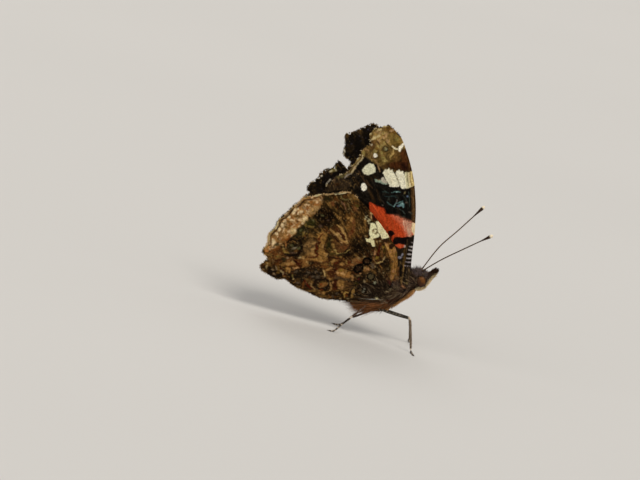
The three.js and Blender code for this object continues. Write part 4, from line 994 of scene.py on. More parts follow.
def hindwing_over(chart, rim, seed):
    """Brown, with black dots in a red margin."""
    p = Paint(chart, HINDWING_FAN, "1a130c", seed, 0.7)
    p.patch("3a2817", [(400, 290), (345, 290), (330, 260), (355, 225), (392, 250)], 14, 0.9)
    x, y = chart.T
    p.lay("c8431c", ramp(14.0 - rim, 0, 2) * ramp(rim - 3.0, -0.5, 0.8) * (x < 335) * (y < 272))
    for centre in ((322, 203), (305, 214), (290, 226), (279, 240)):
        p.spot("0d0c0a", centre, (2.4, 2.4), 0, 0.9)
    p.spot("4d6c9c", (270, 262), (3.4, 2.0), 20, 1.2)
    p.lay("cfcabb", ramp(1.8 - rim, 0, 1) * (x < 350) * (rough_noise(x / 6, y / 6, seed + 21) > -0.05))
    p.streaks("0d0a07", 14, 4, 0.2, 0.8, 0.5, 2)
    return p.colour

# Materials

def new_material(name):
    material = bpy.data.materials.new(name)
    material.use_nodes = True
    nodes, links = material.node_tree.nodes, material.node_tree.links
    nodes.clear()
    output = nodes.new("ShaderNodeOutputMaterial")
    shader = nodes.new("ShaderNodeBsdfPrincipled")
    links.new(shader.outputs["BSDF"], output.inputs["Surface"])
    return material, nodes, links, shader


def texture(nodes, links, kind, scale, detail=2.0, stretch=(1, 1, 1)):
    """A pattern of noise or of cells whose scale counts to the millimetre."""
    place = nodes.new("ShaderNodeTexCoord")
    mapping = nodes.new("ShaderNodeMapping")
    mapping.inputs["Scale"].default_value = [scale / MM * share for share in stretch]
    links.new(place.outputs["Object"], mapping.inputs["Vector"])
    pattern = nodes.new("ShaderNodeTexVoronoi" if kind == "cells" else "ShaderNodeTexNoise")
    pattern.inputs["Scale"].default_value = 1.0
    if kind == "noise":
        pattern.inputs["Detail"].default_value = detail
    links.new(mapping.outputs["Vector"], pattern.inputs["Vector"])
    return pattern


def spread(nodes, links, value, low, high, start=0.0, end=1.0):
    """A value from start to end, spread out to run from low to high."""
    node = nodes.new("ShaderNodeMapRange")
    for name, level in (("From Min", start), ("From Max", end), ("To Min", low), ("To Max", high)):
        node.inputs[name].default_value = level
    links.new(value, node.inputs["Value"])
    return node.outputs["Result"]


def surface(name, kind, grain, depth, relief, height, roughness, specular, coat=0.0, stretch=(1, 1, 1)):
    """The painted colour, varied by a fine grain, with its own relief and uneven gloss. Grain and relief are
    patterns of one kind, given by how many there are to the millimetre, and height is in millimetres."""
    shade, level = ("Color", "Distance") if kind == "cells" else ("Fac", "Fac")
    material, nodes, links, shader = new_material(name)
    painted = nodes.new("ShaderNodeVertexColor")
    painted.layer_name = "markings"
    shades = texture(nodes, links, kind, grain, 3.0, stretch).outputs[shade]
    mix = nodes.new("ShaderNodeVectorMath")
    mix.operation = "SCALE"
    links.new(painted.outputs["Color"], mix.inputs[0])
    links.new(spread(nodes, links, shades, 1 - depth, 1 + depth, 0.1, 0.9), mix.inputs["Scale"])
    links.new(mix.outputs["Vector"], shader.inputs["Base Color"])
    gloss = texture(nodes, links, "noise", grain / 3).outputs["Fac"]
    links.new(spread(nodes, links, gloss, *roughness), shader.inputs["Roughness"])
    rise = texture(nodes, links, kind, relief, 3.0, stretch).outputs[level]
    bump = nodes.new("ShaderNodeBump")
    bump.inputs["Strength"].default_value = 0.7
    bump.inputs["Distance"].default_value = height * MM
    links.new(rise, bump.inputs["Height"])
    links.new(bump.outputs["Normal"], shader.inputs["Normal"])
    shader.inputs["Specular IOR Level"].default_value = specular
    shader.inputs["Coat Weight"].default_value = coat
    shader.inputs["Coat Roughness"].default_value = 0.12
    return material


WING_SCALES = surface("wing_scales", "cells", 7.0, 0.3, 7.0, 0.03, (0.6, 0.85), 0.02, stretch=(1, 1, 0.6))
HAIR = surface("hair", "noise", 6.0, 0.35, 20.0, 0.01, (0.55, 0.8), 0.06)
SKIN = surface("skin", "noise", 5.0, 0.4, 12.0, 0.05, (0.6, 0.85), 0.05)
HORN = surface("horn", "noise", 8.0, 0.3, 16.0, 0.02, (0.4, 0.65), 0.15)
EYE_LENS = surface("eye_lens", "cells", 14.0, 0.5, 26.0, 0.012, (0.38, 0.5), 0.15, coat=0.04)


# Meshes. Each part is its points, triangles, tints, and the places of the triangles' corners on its map.

def join(*parts):
    """One part of several."""
    points, faces, tints, places = zip(*parts)
    starts = np.cumsum([0] + [len(own) for own in points])
    faces = [own + start for own, start in zip(faces, starts)]
    return tuple(np.concatenate(rows) for rows in (points, faces, tints, places))


def make(name, part, material, slot, *nodes):
    """A piece of the model from a part in the body's frame, standing for the CAD nodes."""
    points, faces, tints, places = part
    mesh = bpy.data.meshes.new(name)
    mesh.vertices.add(len(points))
    mesh.vertices.foreach_set("co", to_world(points).astype(np.float32).ravel())
    mesh.loops.add(len(faces) * 3)
    mesh.loops.foreach_set("vertex_index", faces.astype(np.int32).ravel())
    mesh.polygons.add(len(faces))
    mesh.polygons.foreach_set("loop_start", np.arange(0, len(faces) * 3, 3, dtype=np.int32))
    mesh.polygons.foreach_set("use_smooth", np.ones(len(faces), bool))
    layer = mesh.uv_layers.new(name="OFBake")
    layer.data.foreach_set("uv", places.astype(np.float32).ravel())
    mesh.update(calc_edges=True)
    mesh.validate()
    paint = mesh.color_attributes.new("markings", "FLOAT_COLOR", "POINT")
    colours = np.concatenate([np.clip(tints, 0, 1), np.ones((len(tints), 1))], 1)
    paint.data.foreach_set("color", colours.astype(np.float32).ravel())
    mesh.materials.append(material)
    piece = bpy.data.objects.new(name, mesh)
    bpy.context.scene.collection.objects.link(piece)
    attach(piece, "root")
    if nodes:
        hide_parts(*nodes)


def unit(vectors):
    return vectors / np.maximum(np.linalg.norm(vectors, axis=1, keepdims=True), 1e-12)


def smooth_path(corners, count):
    """Points spread evenly along a smooth line through the corners."""
    corners = np.asarray(corners, float)
    ends = np.vstack([2 * corners[0] - corners[1], corners, 2 * corners[-1] - corners[-2]])
    t = np.linspace(0, 1, 24, endpoint=False)[:, None]
    dense = []
    for a, b, c, d in zip(ends, ends[1:], ends[2:], ends[3:]):
        dense.append(0.5 * (2 * b + (c - a) * t + (2 * a - 5 * b + 4 * c - d) * t ** 2
                            + (3 * b - a - 3 * c + d) * t ** 3))
    dense = np.vstack(dense + [corners[-1:]])
    run = np.concatenate([[0], np.cumsum(np.linalg.norm(np.diff(dense, axis=0), axis=1))])
    wanted = np.linspace(0, run[-1], count)
    return np.stack([np.interp(wanted, run, column) for column in dense.T], 1)


def along_path(path, places, count):
    """The direction of a smooth path beside each of the places."""
    middle = smooth_path(path, count)
    spot = np.linalg.norm(places[:, None] - middle[None], axis=2).argmin(1)
    return unit(np.gradient(middle, axis=0))[spot]


def from_columns(*rows):
    """One table under another, each given by its columns."""
    return np.concatenate([np.stack(row, 1) for row in rows])


def wrap(levels, around, flip=False):
    """Triangles over rows of points round a closed shape and over its two ends, each a fan round a point
    more. On the map the turn runs across and the rows' levels run up."""
    i, j = (index.ravel() for index in np.mgrid[0:len(levels) - 1, 0:around])
    k = np.arange(around)
    a, b = i * around + j, i * around + (j + 1) % around
    after, last = (k + 1) % around, (len(levels) - 1) * around
    start = np.full(around, len(levels) * around)
    faces = from_columns((a, b, a + around), (b, b + around, a + around), (start, after, k),
                    (start + 1, last + k, last + after))
    u, v = j / around, levels[i]
    w, x = (j + 1) / around, levels[i + 1]
    left, right, zero, one = k / around, (k + 1) / around, k * 0.0, k * 0.0 + 1
    low, high = np.maximum(zero, max(levels[0], 0.001)), np.minimum(one, min(levels[-1], 0.999))
    across = from_columns((u, w, u), (w, w, u), (left, right, left), (left, left, right))
    up = from_columns((v, v, x), (v, x, x), (zero, low, low), (one, high, high))
    places = np.stack([across, up], -1)
    order = [0, 2, 1] if flip else [0, 1, 2]
    return faces[:, order], places[:, order]


def tube(corners, radius, rings, sides, tint, squeeze=1.0):
    """A closed limb along a smooth path. radius takes the share of its length, 0 to 1, and tint takes that,
    the turn round the limb and the points."""
    path = smooth_path(corners, rings)
    ahead = unit(np.gradient(path, axis=0))
    normal = np.cross(ahead[0], (0, 1, 0) if abs(ahead[0][1]) < 0.9 else (1, 0, 0))
    t = np.linspace(0, 1, rings)
    turn = np.linspace(0, 2 * np.pi, sides, endpoint=False)
    across, up = np.cos(turn)[:, None], squeeze * np.sin(turn)[:, None]
    rows = []
    for middle, step, share in zip(path, ahead, t):
        normal = normal - step * (normal @ step)
        normal /= np.linalg.norm(normal)
        rows.append(middle + radius(share) * (across * normal + up * np.cross(step, normal)))
    points = np.vstack([*rows, path[:1], path[-1:]])
    faces, places = wrap(t, sides)
    # The ends are so small that all their triangles share one spot of the map.
    spot = np.array([(0, 0), (0.001, 0), (0.001, 0.001)])
    places[-2 * sides:] = np.repeat([spot, spot + (0, 0.999)], sides, axis=0)
    tints = tint(np.append(np.repeat(t, sides), [0, 1]), np.append(np.tile(turn, rings), [0, 0]), points)
    return points, faces, tints, places


def ball(middle, radii, pitch, tint, around=96, along=64):
    """A closed ellipsoid, its front raised by pitch degrees."""
    turn = np.linspace(0, 2 * np.pi, around, endpoint=False)
    rise = np.linspace(0, np.pi, along + 1)[1:-1]
    r, a = np.meshgrid(rise, turn, indexing="ij")
    shell = np.stack([np.cos(r), np.sin(r) * np.cos(a), np.sin(r) * np.sin(a)], -1).reshape(-1, 3)
    x, y, z = (np.vstack([shell, (1, 0, 0), (-1, 0, 0)]) * radii).T
    x, z = rotated(x, z, np.radians(pitch))
    points = np.stack([x, y, z], 1) + middle
    faces, places = wrap(np.arange(1, along) / along, around)
    return points, faces, tint(points), places


TUFT_ON_MAP = 0.003
TUFT_LEVELS = ((0.0, 1.0), (0.4, 0.85), (0.75, 0.5))
TUFT_PLACES = ((-0.5, -0.5), (0.5, -0.5), (0, -0.4), (-0.45, 0), (0.45, 0), (0, 0.05), (-0.3, 0.3),
               (0.3, 0.3), (0, 0.32), (0, 0.5))


def tuft_triangles():
    """The numbers of a tuft's corners: a base, two levels of three walls and a point."""
    rows = [(0, 2, 1)]
    for k in (0, 3):
        for m in range(3):
            n = (m + 1) % 3
            rows += [(k + m, k + n, k + 3 + m), (k + n, k + 3 + n, k + 3 + m)]
    return np.array(rows + [(6, 7, 9), (7, 8, 9), (8, 6, 9)])


def locks(roots, along, up, length, width, tints, tips, places, lift=0.25, bend=0.0, flat=0.45):
    """Tapered tufts of hair that leave their roots along the lie of the coat and bend towards their tips."""
    along, up = unit(along), unit(up)
    across = unit(np.cross(along, up))
    sizes = (length, width, lift, bend)
    length, width, lift, bend = (np.broadcast_to(size, len(roots))[:, None] for size in sizes)
    points, shades = [], []
    for t, share in TUFT_LEVELS:
        middle = roots + length * (along * t + up * lift * (t - 0.55 * t * t) + across * bend * t * t)
        half = width * share / 2
        points += [middle + across * half, middle - across * half, middle + up * half * flat * 2]
        shades += [tints * (1 - t) + tips * t] * 3
    points.append(roots + length * (along + up * lift * 0.45 + across * bend))
    shades.append(tips)
    pattern = tuft_triangles()
    faces = np.arange(len(roots))[:, None, None] * len(points) + pattern
    corners = places[:, None, None, :] + np.array(TUFT_PLACES)[pattern] * TUFT_ON_MAP
    points, shades = (np.stack(rows, 1).reshape(-1, 3) for rows in (points, shades))
    return points, faces.reshape(-1, 3), shades, corners.reshape(-1, 3, 2)


def scatter(part, count, random, weight=None):
    """Roots spread over a part by area: their places, normals and places on the part's map."""
    points, faces, _, places = part
    a, b, c = (points[faces[:, k]] for k in range(3))
    normal = np.cross(b - a, c - a)
    area = np.linalg.norm(normal, axis=1)
    chance = area if weight is None else area * weight((a + b + c) / 3, unit(normal))
    chosen = random.choice(len(faces), count, p=chance / chance.sum())
    r, s = random.random((2, count, 1))
    r, s = np.where(r + s > 1, 1 - r, r), np.where(r + s > 1, 1 - s, s)
    roots = a[chosen] + (b - a)[chosen] * r + (c - a)[chosen] * s
    place = places[chosen]
    where = place[:, 0] + (place[:, 1] - place[:, 0]) * r + (place[:, 2] - place[:, 0]) * s
    return roots, unit(normal)[chosen], where


# Wings

ROW = 0.866


def rounded(corners):
    """The closed outline with its corners cut off, twice over."""
    for _ in range(2):
        after = np.roll(corners, -1, axis=0)
        corners = np.stack([0.8 * corners + 0.2 * after, 0.2 * corners + 0.8 * after], 1).reshape(-1, 2)
    return corners


def sheet(outline, step):
    """Even triangles that fill an outline, their outer points drawn onto it, and how deep each is inside."""
    low, high = outline.min(0) - step, outline.max(0) + step
    rows, columns = int((high[1] - low[1]) / (step * ROW)) + 2, int((high[0] - low[0]) / step) + 2
    j, i = np.mgrid[0:rows, 0:columns]
    points = np.stack([low[0] + (i + 0.5 * (j % 2)) * step, low[1] + j * step * ROW], -1).reshape(-1, 2)
    a = (j[:-1, :-1] * columns + i[:-1, :-1]).ravel()
    odd = (j[:-1, :-1] % 2 == 1).ravel()
    b, c, d = a + 1, a + columns, a + columns + 1
    faces = from_columns((a, b, np.where(odd, d, c)), (np.where(odd, a, b), d, c))
    feet, distance, _ = nearest_on(points, outline, closed=True)
    signed = np.where(inside(points, outline), distance, -distance)
    on_edge = np.abs(signed) < 0.5 * step
    kept = (signed[faces] > -0.5 * step).all(1)
    kept &= inside(points[faces].mean(1), outline) | ~on_edge[faces].all(1)
    points[on_edge] = feet[on_edge]
    used, again = np.unique(faces[kept], return_inverse=True)
    faces, corners = again.reshape(-1, 3), points[used]
    a, b, c = (corners[faces[:, k]] for k in range(3))
    return corners, faces[np.cross(b - a, c - a) > 1e-7], np.where(on_edge, 0, distance)[used]


def angle_of(flat):
    """The direction from the hinge in degrees, 0 towards the head and 90 straight up."""
    return np.degrees(np.arctan2(flat[:, 1], flat[:, 0])) % 360


def frayed(flat, rim, seed, ragged):
    """The wing with its free edge worn into teeth of about ragged millimetres."""
    turn = angle_of(flat)
    lobe = turn + 0.8 * smooth_noise(turn / 3, 0 * turn, seed + 3)
    teeth = np.abs(np.sin(np.pi * lobe / 2.2)) ** 0.7 - 0.75 + 0.45 * rough_noise(turn / 0.7, 0 * turn, seed)
    teeth *= ramp(turn, 90, 93) * ramp(turn, 215, 205) * ramp(rim, 0.9, 0.0)
    return flat * (1 + ragged * teeth / np.hypot(*flat.T))[:, None]


def border_of(faces, count):
    """The edges that only one triangle has."""
    edges = np.concatenate([faces[:, [0, 1]], faces[:, [1, 2]], faces[:, [2, 0]]]).astype(np.int64)
    a, b = edges.T
    return edges[~np.isin(a * count + b, b * count + a)].T


def wing(kind, side, bends, hinge, veins, painters, seed, ragged, curl=0.0, sweep=0.0, reach=1.0):
    """A thin membrane with raised veins and soft folds between them, painted on both of its faces."""
    outline = rounded(from_hinge(bends))
    flat, faces, rim = sheet(outline, WING_STEP)
    flat = frayed(flat, rim, seed, ragged)
    vein_gap = np.min([nearest_on(flat, from_hinge(vein))[1] for vein in veins], axis=0)
    thickness = 0.045 + 0.075 * np.exp(-(vein_gap / 0.15) ** 2) * ramp(rim, 0.0, 0.6)
    sag = 0.13 * (1 - np.exp(-(vein_gap / 1.1) ** 2))
    wave = 0.22 * smooth_noise(*flat.T / 3.1, seed) * ramp(rim, 6.0, 0.0)
    turned = dict(side=side, hinge=hinge, curl=curl, sweep=sweep, reach=reach)
    points = [placed(flat, wave - sag + half, **turned) for half in (thickness, -thickness)]
    tints = [painter(charted(flat, hinge, curl), rim / CHART_UNIT, seed) for painter in painters]
    a, b = border_of(faces, len(flat))
    over = faces + len(flat)
    # Seen from the outside of the right wing, the flat triangles run anticlockwise.
    if side == LEFT:
        plates = np.concatenate([faces[:, ::-1], over])
        wall = from_columns((a, b, b + len(flat)), (a, b + len(flat), a + len(flat)))
    else:
        plates = np.concatenate([faces, over[:, ::-1]])
        wall = from_columns((b, a, b + len(flat)), (a, a + len(flat), b + len(flat)))
    # The two faces lie side by side on the map, and the wall between them shares the first one's place.
    place = (flat - flat.min(0)) / (np.ptp(flat, axis=0).max() * 2.08) + 0.005
    places = np.concatenate([place, place + (0.5, 0)])[np.concatenate([plates, wall % len(flat)])]
    part = np.concatenate(points), np.concatenate([plates, wall]), np.concatenate(tints), places
    name = kind + ("_left" if side == LEFT else "_right")
    make(name + "_membrane", part, WING_SCALES, kind, name)
    return outline, turned, part


def fringe(name, outline, turned, tint, slot, start, end, length, keep):
    """Long scales that stand out from a wing's edge, between two angles at its hinge."""
    after = np.roll(outline, -1, axis=0)
    run = np.hypot(*(after - outline).T)
    spots = int(run.sum() * FRINGE_DENSITY)
    along = (np.arange(spots) + random.random(spots)) / spots * run.sum()
    total = np.concatenate([[0], np.cumsum(run)])
    k = np.clip(np.searchsorted(total, along) - 1, 0, len(outline) - 1)
    t = ((along - total[k]) / run[k])[:, None]
    flat = outline[k] * (1 - t) + after[k] * t
    step = unit(after[k] - outline[k])
    turning = np.sum(outline[:, 0] * after[:, 1] - after[:, 0] * outline[:, 1])
    out = np.stack([step[:, 1], -step[:, 0]], 1) * np.sign(turning)
    angle = angle_of(flat)
    used = (angle > start) & (angle < end) & (random.random(spots) < keep)
    flat, out = flat[used] - out[used] * 0.12, out[used]
    lean = random.normal(0, 0.22, (len(flat), 1))
    out = unit(out + lean * np.stack([-out[:, 1], out[:, 0]], 1))
    level = random.uniform(-0.05, 0.05, len(flat))
    root, tip = placed(flat, level, **turned), placed(flat + out * 0.5, level, **turned)
    up = np.tile([0.0, turned["side"], 0.0], (len(flat), 1))
    tints = tint(charted(flat, turned["hinge"], turned["curl"]), flat)
    size = length * random.uniform(0.6, 1.15, len(flat))
    places = (flat - outline.min(0)) / np.ptp(outline, axis=0).max() * 0.98 + 0.01
    part = locks(root, tip - root, up, size, 0.13, tints, tints * 1.1, places, lift=0.0, flat=0.3)
    make(name, part, HAIR, slot)


def fore_fringe(chart, flat):
    dark = rough_noise(*flat.T / 1.1, 5) < 0.3
    return np.where(dark[:, None], rgb("241a10"), rgb("b3a27c"))


def hind_fringe(chart, flat):
    """Pale and dark by turns, and dark all over low on the wing."""
    dark = rough_noise(*flat.T / 1.3, 6) < -0.15
    tints = np.where(dark[:, None], rgb("3a2a19"), rgb("b7976a"))
    return np.where(chart[:, 1:] > 257, tints * 0.35, tints)


# The animal

random = np.random.default_rng(7)

# The far forewing leans back until its margin shows as in the photo. The far hindwing is shorter, and hidden.
FAR_SWEEP = 8.0
FAR_REACH = 0.97
HINDWING_CURL = 0.7
FRINGE_DENSITY = 9.0

wing_parts = {}
for word, side in SIDES.items():
    near = side == RIGHT
    margin = WORN_MARGIN if near else FRESH_MARGIN
    fore_line, fore_turned, fore_part = wing(
        "forewing", side, FOREWING_COSTA + margin + FOREWING_INNER_MARGIN, FOREWING_HINGE, FOREWING_VEINS,
        (forewing_under if near else fresh_forewing_under, forewing_over), 11 + side, 0.16 if near else 0.42,
        sweep=0.0 if near else FAR_SWEEP)
    hind_line, hind_turned, hind_part = wing(
        "hindwing", side, HINDWING_OUTLINE, HINDWING_HINGE, HINDWING_VEINS, (hindwing_under, hindwing_over),
        23 + side, 0.14, curl=HINDWING_CURL, reach=1.0 if near else FAR_REACH)
    wing_parts[word] = fore_part, hind_part
    fringe("forewing_fringe_" + word, fore_line, fore_turned, fore_fringe, "forewing", 92, 134, 0.42, 0.75)
    fringe("hindwing_fringe_" + word, hind_line, hind_turned, hind_fringe, "hindwing", 112, 250, 0.45, 0.85)


# Body

# Middle, radii and pitch of the lumps that the skin blends, each a coat's depth inside the CAD solids.
LUMPS = (
    ((0.2, 0, 0.2), (3.8, 2.1, 2.6), 20),
    ((-1.3, 0, -2.2), (2.6, 1.5, 1.75), 26),
    ((3.2, 0, 1.95), (1.4, 1.3, 1.75), 20),
    ((5.4, 0, 2.05), (1.5, 1.4, 1.5), 10),
    ((4.5, 0, 0.2), (1.2, 0.4, 0.62), 25),
)
LUMP_SHARPNESS = 4.5
ABDOMEN_FRONT = np.array((-3.0, 0, -0.85))
ABDOMEN_LENGTH = 11.2
ABDOMEN_PITCH = np.radians(-7.5)
ABDOMEN_RINGS = 7
BODY_AXIS = ((-13.4, 0, 0.55), (-8.0, 0, -0.15), (-3.0, 0, -0.8), (0, 0, 0), (3.2, 0, 1.6), (5.4, 0, 2.05))
BODY_REACH = 5.0


def abdomen_gap(points):
    """About how far points are outside the abdomen, whose rings swell a little."""
    x, y, z = (points - ABDOMEN_FRONT).T
    ahead, rise = rotated(x, z, -ABDOMEN_PITCH)
    t = np.clip(-ahead / ABDOMEN_LENGTH, 0, 1)
    girth = 1.2 + 0.5 * np.sin(np.pi * np.minimum(1, t * 1.35 + 0.08)) - 1.15 * t ** 3.2 - 0.14
    girth += 0.1 * np.abs(np.sin(np.pi * ABDOMEN_RINGS * t)) ** 0.6
    radial = np.hypot(y, rise)
    beyond = np.maximum(np.maximum(-ahead - ABDOMEN_LENGTH, ahead - 1.5), 0)
    return np.hypot(np.maximum(radial - girth, 0), beyond) + np.minimum(radial - girth, 0) * (beyond == 0)


def lump_gap(points, middle, radii, pitch):
    """About how far points are outside one lump."""
    x, y, z = (points - np.array(middle)).T
    x, z = rotated(x, z, -np.radians(pitch))
    return (np.linalg.norm(np.stack([x, y, z], 1) / radii, axis=1) - 1) * min(radii)


def skin_gap(points):
    """Below zero inside the body: all its lumps, blended where they meet."""
    gaps = [lump_gap(points, *lump) for lump in LUMPS] + [abdomen_gap(points)]
    return -np.log(sum(np.exp(-LUMP_SHARPNESS * gap) for gap in gaps)) / LUMP_SHARPNESS


def skin_reach(start, ray):
    """How far along each ray the skin is: stepped inwards to it, then halved down."""
    reaches = np.linspace(BODY_REACH, 0.0, 60)
    near, far = np.zeros(len(ray)), np.full(len(ray), BODY_REACH)
    open_yet = np.ones(len(ray), bool)
    for reach in reaches:
        hit = open_yet & (skin_gap(start + ray * reach) < 0)
        near[hit] = reach
        far[hit] = reach + BODY_REACH / (len(reaches) - 1)
        open_yet &= ~hit
    for _ in range(12):
        middle = (near + far) / 2
        within = skin_gap(start + ray * middle[:, None]) < 0
        near, far = np.where(within, middle, near), np.where(within, far, middle)
    return near[:, None]


def skin_part():
    """One skin over head, thorax and abdomen, found along rays from the body's axis. At both of its ends
    the rays lean over, row by row, to point along it."""
    rings, around, cap = 190, 96, 14
    path = smooth_path(BODY_AXIS, rings)
    index = np.concatenate([np.zeros(cap, int), np.arange(rings), np.full(cap, rings - 1)])
    leaning = np.linspace(np.pi / 2, 0, cap, endpoint=False) * 0.999
    lean = np.concatenate([-leaning, np.zeros(rings), leaning[::-1]])[:, None, None]
    turn = np.linspace(0, 2 * np.pi, around, endpoint=False)[:, None]
    ahead = unit(np.gradient(path, axis=0))[index]
    left = np.array((0.0, 1.0, 0.0))
    out = unit(np.cross(ahead, left))[:, None] * np.cos(turn) + left * np.sin(turn)
    ray = (out * np.cos(lean) + ahead[:, None] * np.sin(lean)).reshape(-1, 3)
    start = np.repeat(path[index], around, axis=0)
    points = start + ray * skin_reach(start, ray)
    middles = points.reshape(len(index), around, 3).mean(1)
    run = np.concatenate([[0], np.cumsum(np.linalg.norm(np.diff(middles, axis=0), axis=1) + 0.02)])
    faces, places = wrap(run / run[-1], around, flip=True)
    points = np.vstack([points, points[:around].mean(0), points[-around:].mean(0)])
    return points, faces, body_tint(points), places


# Tints of the body's coat, on the wings' chart: its fields, then lines and spots
BODY_FIELDS = (
    ("443429", (396, 258), (412, 258), (424, 268), (418, 292), (402, 297), (392, 284)),
    ("554a4a", (408, 262), (420, 262), (434, 268), (434, 280), (424, 278), (415, 275), (410, 272)),
    ("2a2015", (397.6, 256), (411, 256), (411, 274), (408, 285), (397.6, 284)),
    ("8a5d30", (388, 256), (398, 256), (398.6, 272), (398, 281), (391, 281)),
    ("6b3f1e", (391, 274), (395, 274), (395, 281), (391, 281)),
    ("4c3020", (382, 303), (392, 298), (402, 297), (404, 300), (394, 307), (384, 312)),
    ("4a2d1b", (336, 297), (362, 298), (370, 306), (352, 308), (336, 306)),
    ("5c3a20", (362, 303), (388, 303), (388, 316), (362, 316)),
    ("a5794a", (413, 289.6), (418, 288), (419, 294), (406, 303), (390, 314), (386.6, 308), (399, 300.8),
     (407.6, 295)),
)
BODY_LINES = (
    ("160a04", 3, (414.6, 286.8), (409, 291.6), (402.6, 296.4), (397, 299.6)),
    ("a57c4c", 1.5, (417, 290.6), (411, 295.2), (404, 299.8), (396, 304.6), (389, 308.6)),
)
# Marks that single tufts above the coat carry
TUFT_LINES = (
    ("86693c", 1.3, (402.8, 260), (403.4, 270), (402, 278), (401, 285)),
    ("0c0907", 1.3, (400.8, 260), (401.2, 270), (399.8, 279)),
    ("0c0907", 1.3, (405, 268), (405.2, 275), (404, 283)),
    ("7b6342", 1.2, (408.6, 269), (408.8, 276), (407.4, 282)),
    ("6a5a48", 0.9, (406.8, 271), (406.6, 277)),
    ("b48c50", 1.5, (390.8, 273), (391, 279.4)),
    ("5a2c14", 1.1, (393.2, 270), (393.6, 280)),
    ("b08a52", 1.6, (395.4, 270), (396.4, 279)),
    ("bfa880", 1.7, (386.6, 291), (388.6, 291.7), (390.6, 290), (391.8, 288.8)),
    ("6c5f4c", 0.9, (368.4, 288.6), (370, 291), (371.6, 293.4)),
    ("7c6d58", 0.9, (379, 298.6), (382, 301), (384, 303)),
    ("7c6d58", 0.9, (382.6, 298), (385, 301), (388, 302.6)),
    ("7c6a52", 1.3, (387, 296.6), (392, 295)),
    ("6c5d4c", 0.9, (393, 284), (396, 288.4), (398.6, 290)),
    ("6c5d4c", 0.9, (396.6, 284.6), (399.4, 288.4)),
    ("6c5d4c", 0.9, (411, 284), (407, 290), (402, 294)),
    ("0c0907", 1.1, (409, 283), (404.6, 290), (399, 294)),
    ("6c5d4c", 0.9, (400, 292), (394, 297), (388, 299)),
)
TUFT_SPOTS = (
    ("b07f58", (402.2, 285.8, 1.8, 0.9, -40), (404, 287.4, 1.6, 1, -30)),
    ("8d7a48", (406.8, 283.3, 1.2, 1.1)),
    ("4a211b", (389.4, 282.4, 0.9, 2)),
    ("403b40", (392.4, 284, 1, 2, 15)),
    ("a3a487", (374.8, 283, 0.9, 1.4, -25)),
    ("e6d9a8", (376.9, 298, 1.3, 1.1)),
    ("84806c", (363.4, 291.3, 1.4, 0.7, 10), (364.4, 288.8, 0.9, 0.9)),
)
BODY_FAN = (420, 330)
WISP = "7d6a50"


def body_paint(points, ground):
    """Paint for points of the body, the same on both sides."""
    return Paint(on_chart(points * (1, 0, 1) - (0, 1, 0) * np.abs(points)), BODY_FAN, ground, 3, 0.5)


def body_tint(points):
    """The coat's colour: dark, grey on the head, rust below, banded on the abdomen."""
    p = body_paint(points, "33261a")
    p.patches(BODY_FIELDS, 3.5, 0.95)
    x, _, z = points.T
    behind = ramp(-x, 4.6, 5.6) * ramp(z, -2.5, -2.0)
    ring = np.abs(np.sin(np.pi * ABDOMEN_RINGS * np.clip((ABDOMEN_FRONT[0] - x) / ABDOMEN_LENGTH, 0, 1)))
    p.lay("1e1812", behind * 0.85)
    p.lay("6d5234", behind * ramp(ring, 0.55, 0.1) * 0.8)
    p.lines(BODY_LINES, 0.9, 0.9)
    p.mottle(2.5, 0.3, 4)
    p.lines(TUFT_LINES, 0.7, 0.95)
    p.spots(TUFT_SPOTS, 0.7, 0.95)
    return p.colour


def coat(name, ground, count, where, length, width, lift, slot, lie, stray, tip=1.5, pale=0.0,
         shades=(0.35, 2.0), clumps=0.9, sink=0.05):
    """Locks of hair that lie along lie(roots, normals), in clumps of lighter and darker ones, a few of them
    pale. where(places, normals) says how thick they stand."""
    roots, normals, places = scatter(ground, count, random, where)
    flow = lie(roots, normals)
    along = unit(flow + random.normal(0, stray, roots.shape))
    tints = body_tint(roots + along * length * 0.4) * random.uniform(*shades, (count, 1))
    ahead = unit(flow.mean(0, keepdims=True))[0]
    clump = rough_noise(roots @ ahead / 1.1 + roots[:, 1], roots @ np.cross(ahead, (0, 1, 0)) / 0.3, 8)
    tints *= np.clip(1 + clumps * clump, 0.15, 2.2)[:, None]
    chosen = random.random((count, 1)) < pale
    tints = np.where(chosen, rgb(WISP) * random.uniform(0.5, 1.2, (count, 1)), tints)
    length = length * random.uniform(0.6, 1.3, count)
    width = width * random.uniform(0.7, 1.3, count)
    lift = lift * random.uniform(0.5, 1.5, count)
    bend = random.normal(0, 0.12, count)
    tips = np.clip(tints * tip, 0, 1)
    make(name, locks(roots - normals * sink, along, normals, length, width, tints, tips, places, lift, bend),
         HAIR, slot)


# How the coats lie, in the body's frame

def tangent(flow, normals):
    return unit(flow - normals * np.sum(flow * normals, 1, keepdims=True))


def over_body(roots, normals):
    """Backwards, rising on the sides of the thorax and falling along its underside."""
    flow = np.tile((-1.0, 0.0, 0.0), (len(roots), 1))
    flow[:, 2] = 0.65 * ramp(normals[:, 2], 0.75, 0.3) - 1.2 * ramp(normals[:, 2], -0.2, -0.6)
    flow[:, 2] *= ramp(roots[:, 0], -5.0, -2.5)
    return tangent(flow, normals)


def over_head(roots, normals):
    """Upwards over the neck and the sides of the head."""
    return tangent(np.array((-0.45, 0.0, 0.8)), normals)


def upright(roots, normals):
    return unit(normals * 0.8 + (-0.2, 0, 0.5))


def towards(direction, stand=0.0):
    """A coat that lies in one direction, or stands out from its ground a little."""
    return lambda roots, normals: normals * stand + direction


forwards = towards((0.9, 0.0, 0.42))
backwards = towards((-1.0, 0.0, 0.02))
up_the_veins = towards((0.05, 0.0, 1.0))
down_the_veins = towards((-0.08, 0.0, -1.0))
over_wing = towards((-0.65, 0.0, 0.7), 0.15)


# Where the coats grow, in the body's frame

def on_head(middle, normal):
    return (middle[:, 0] > 4.1) * 1.0


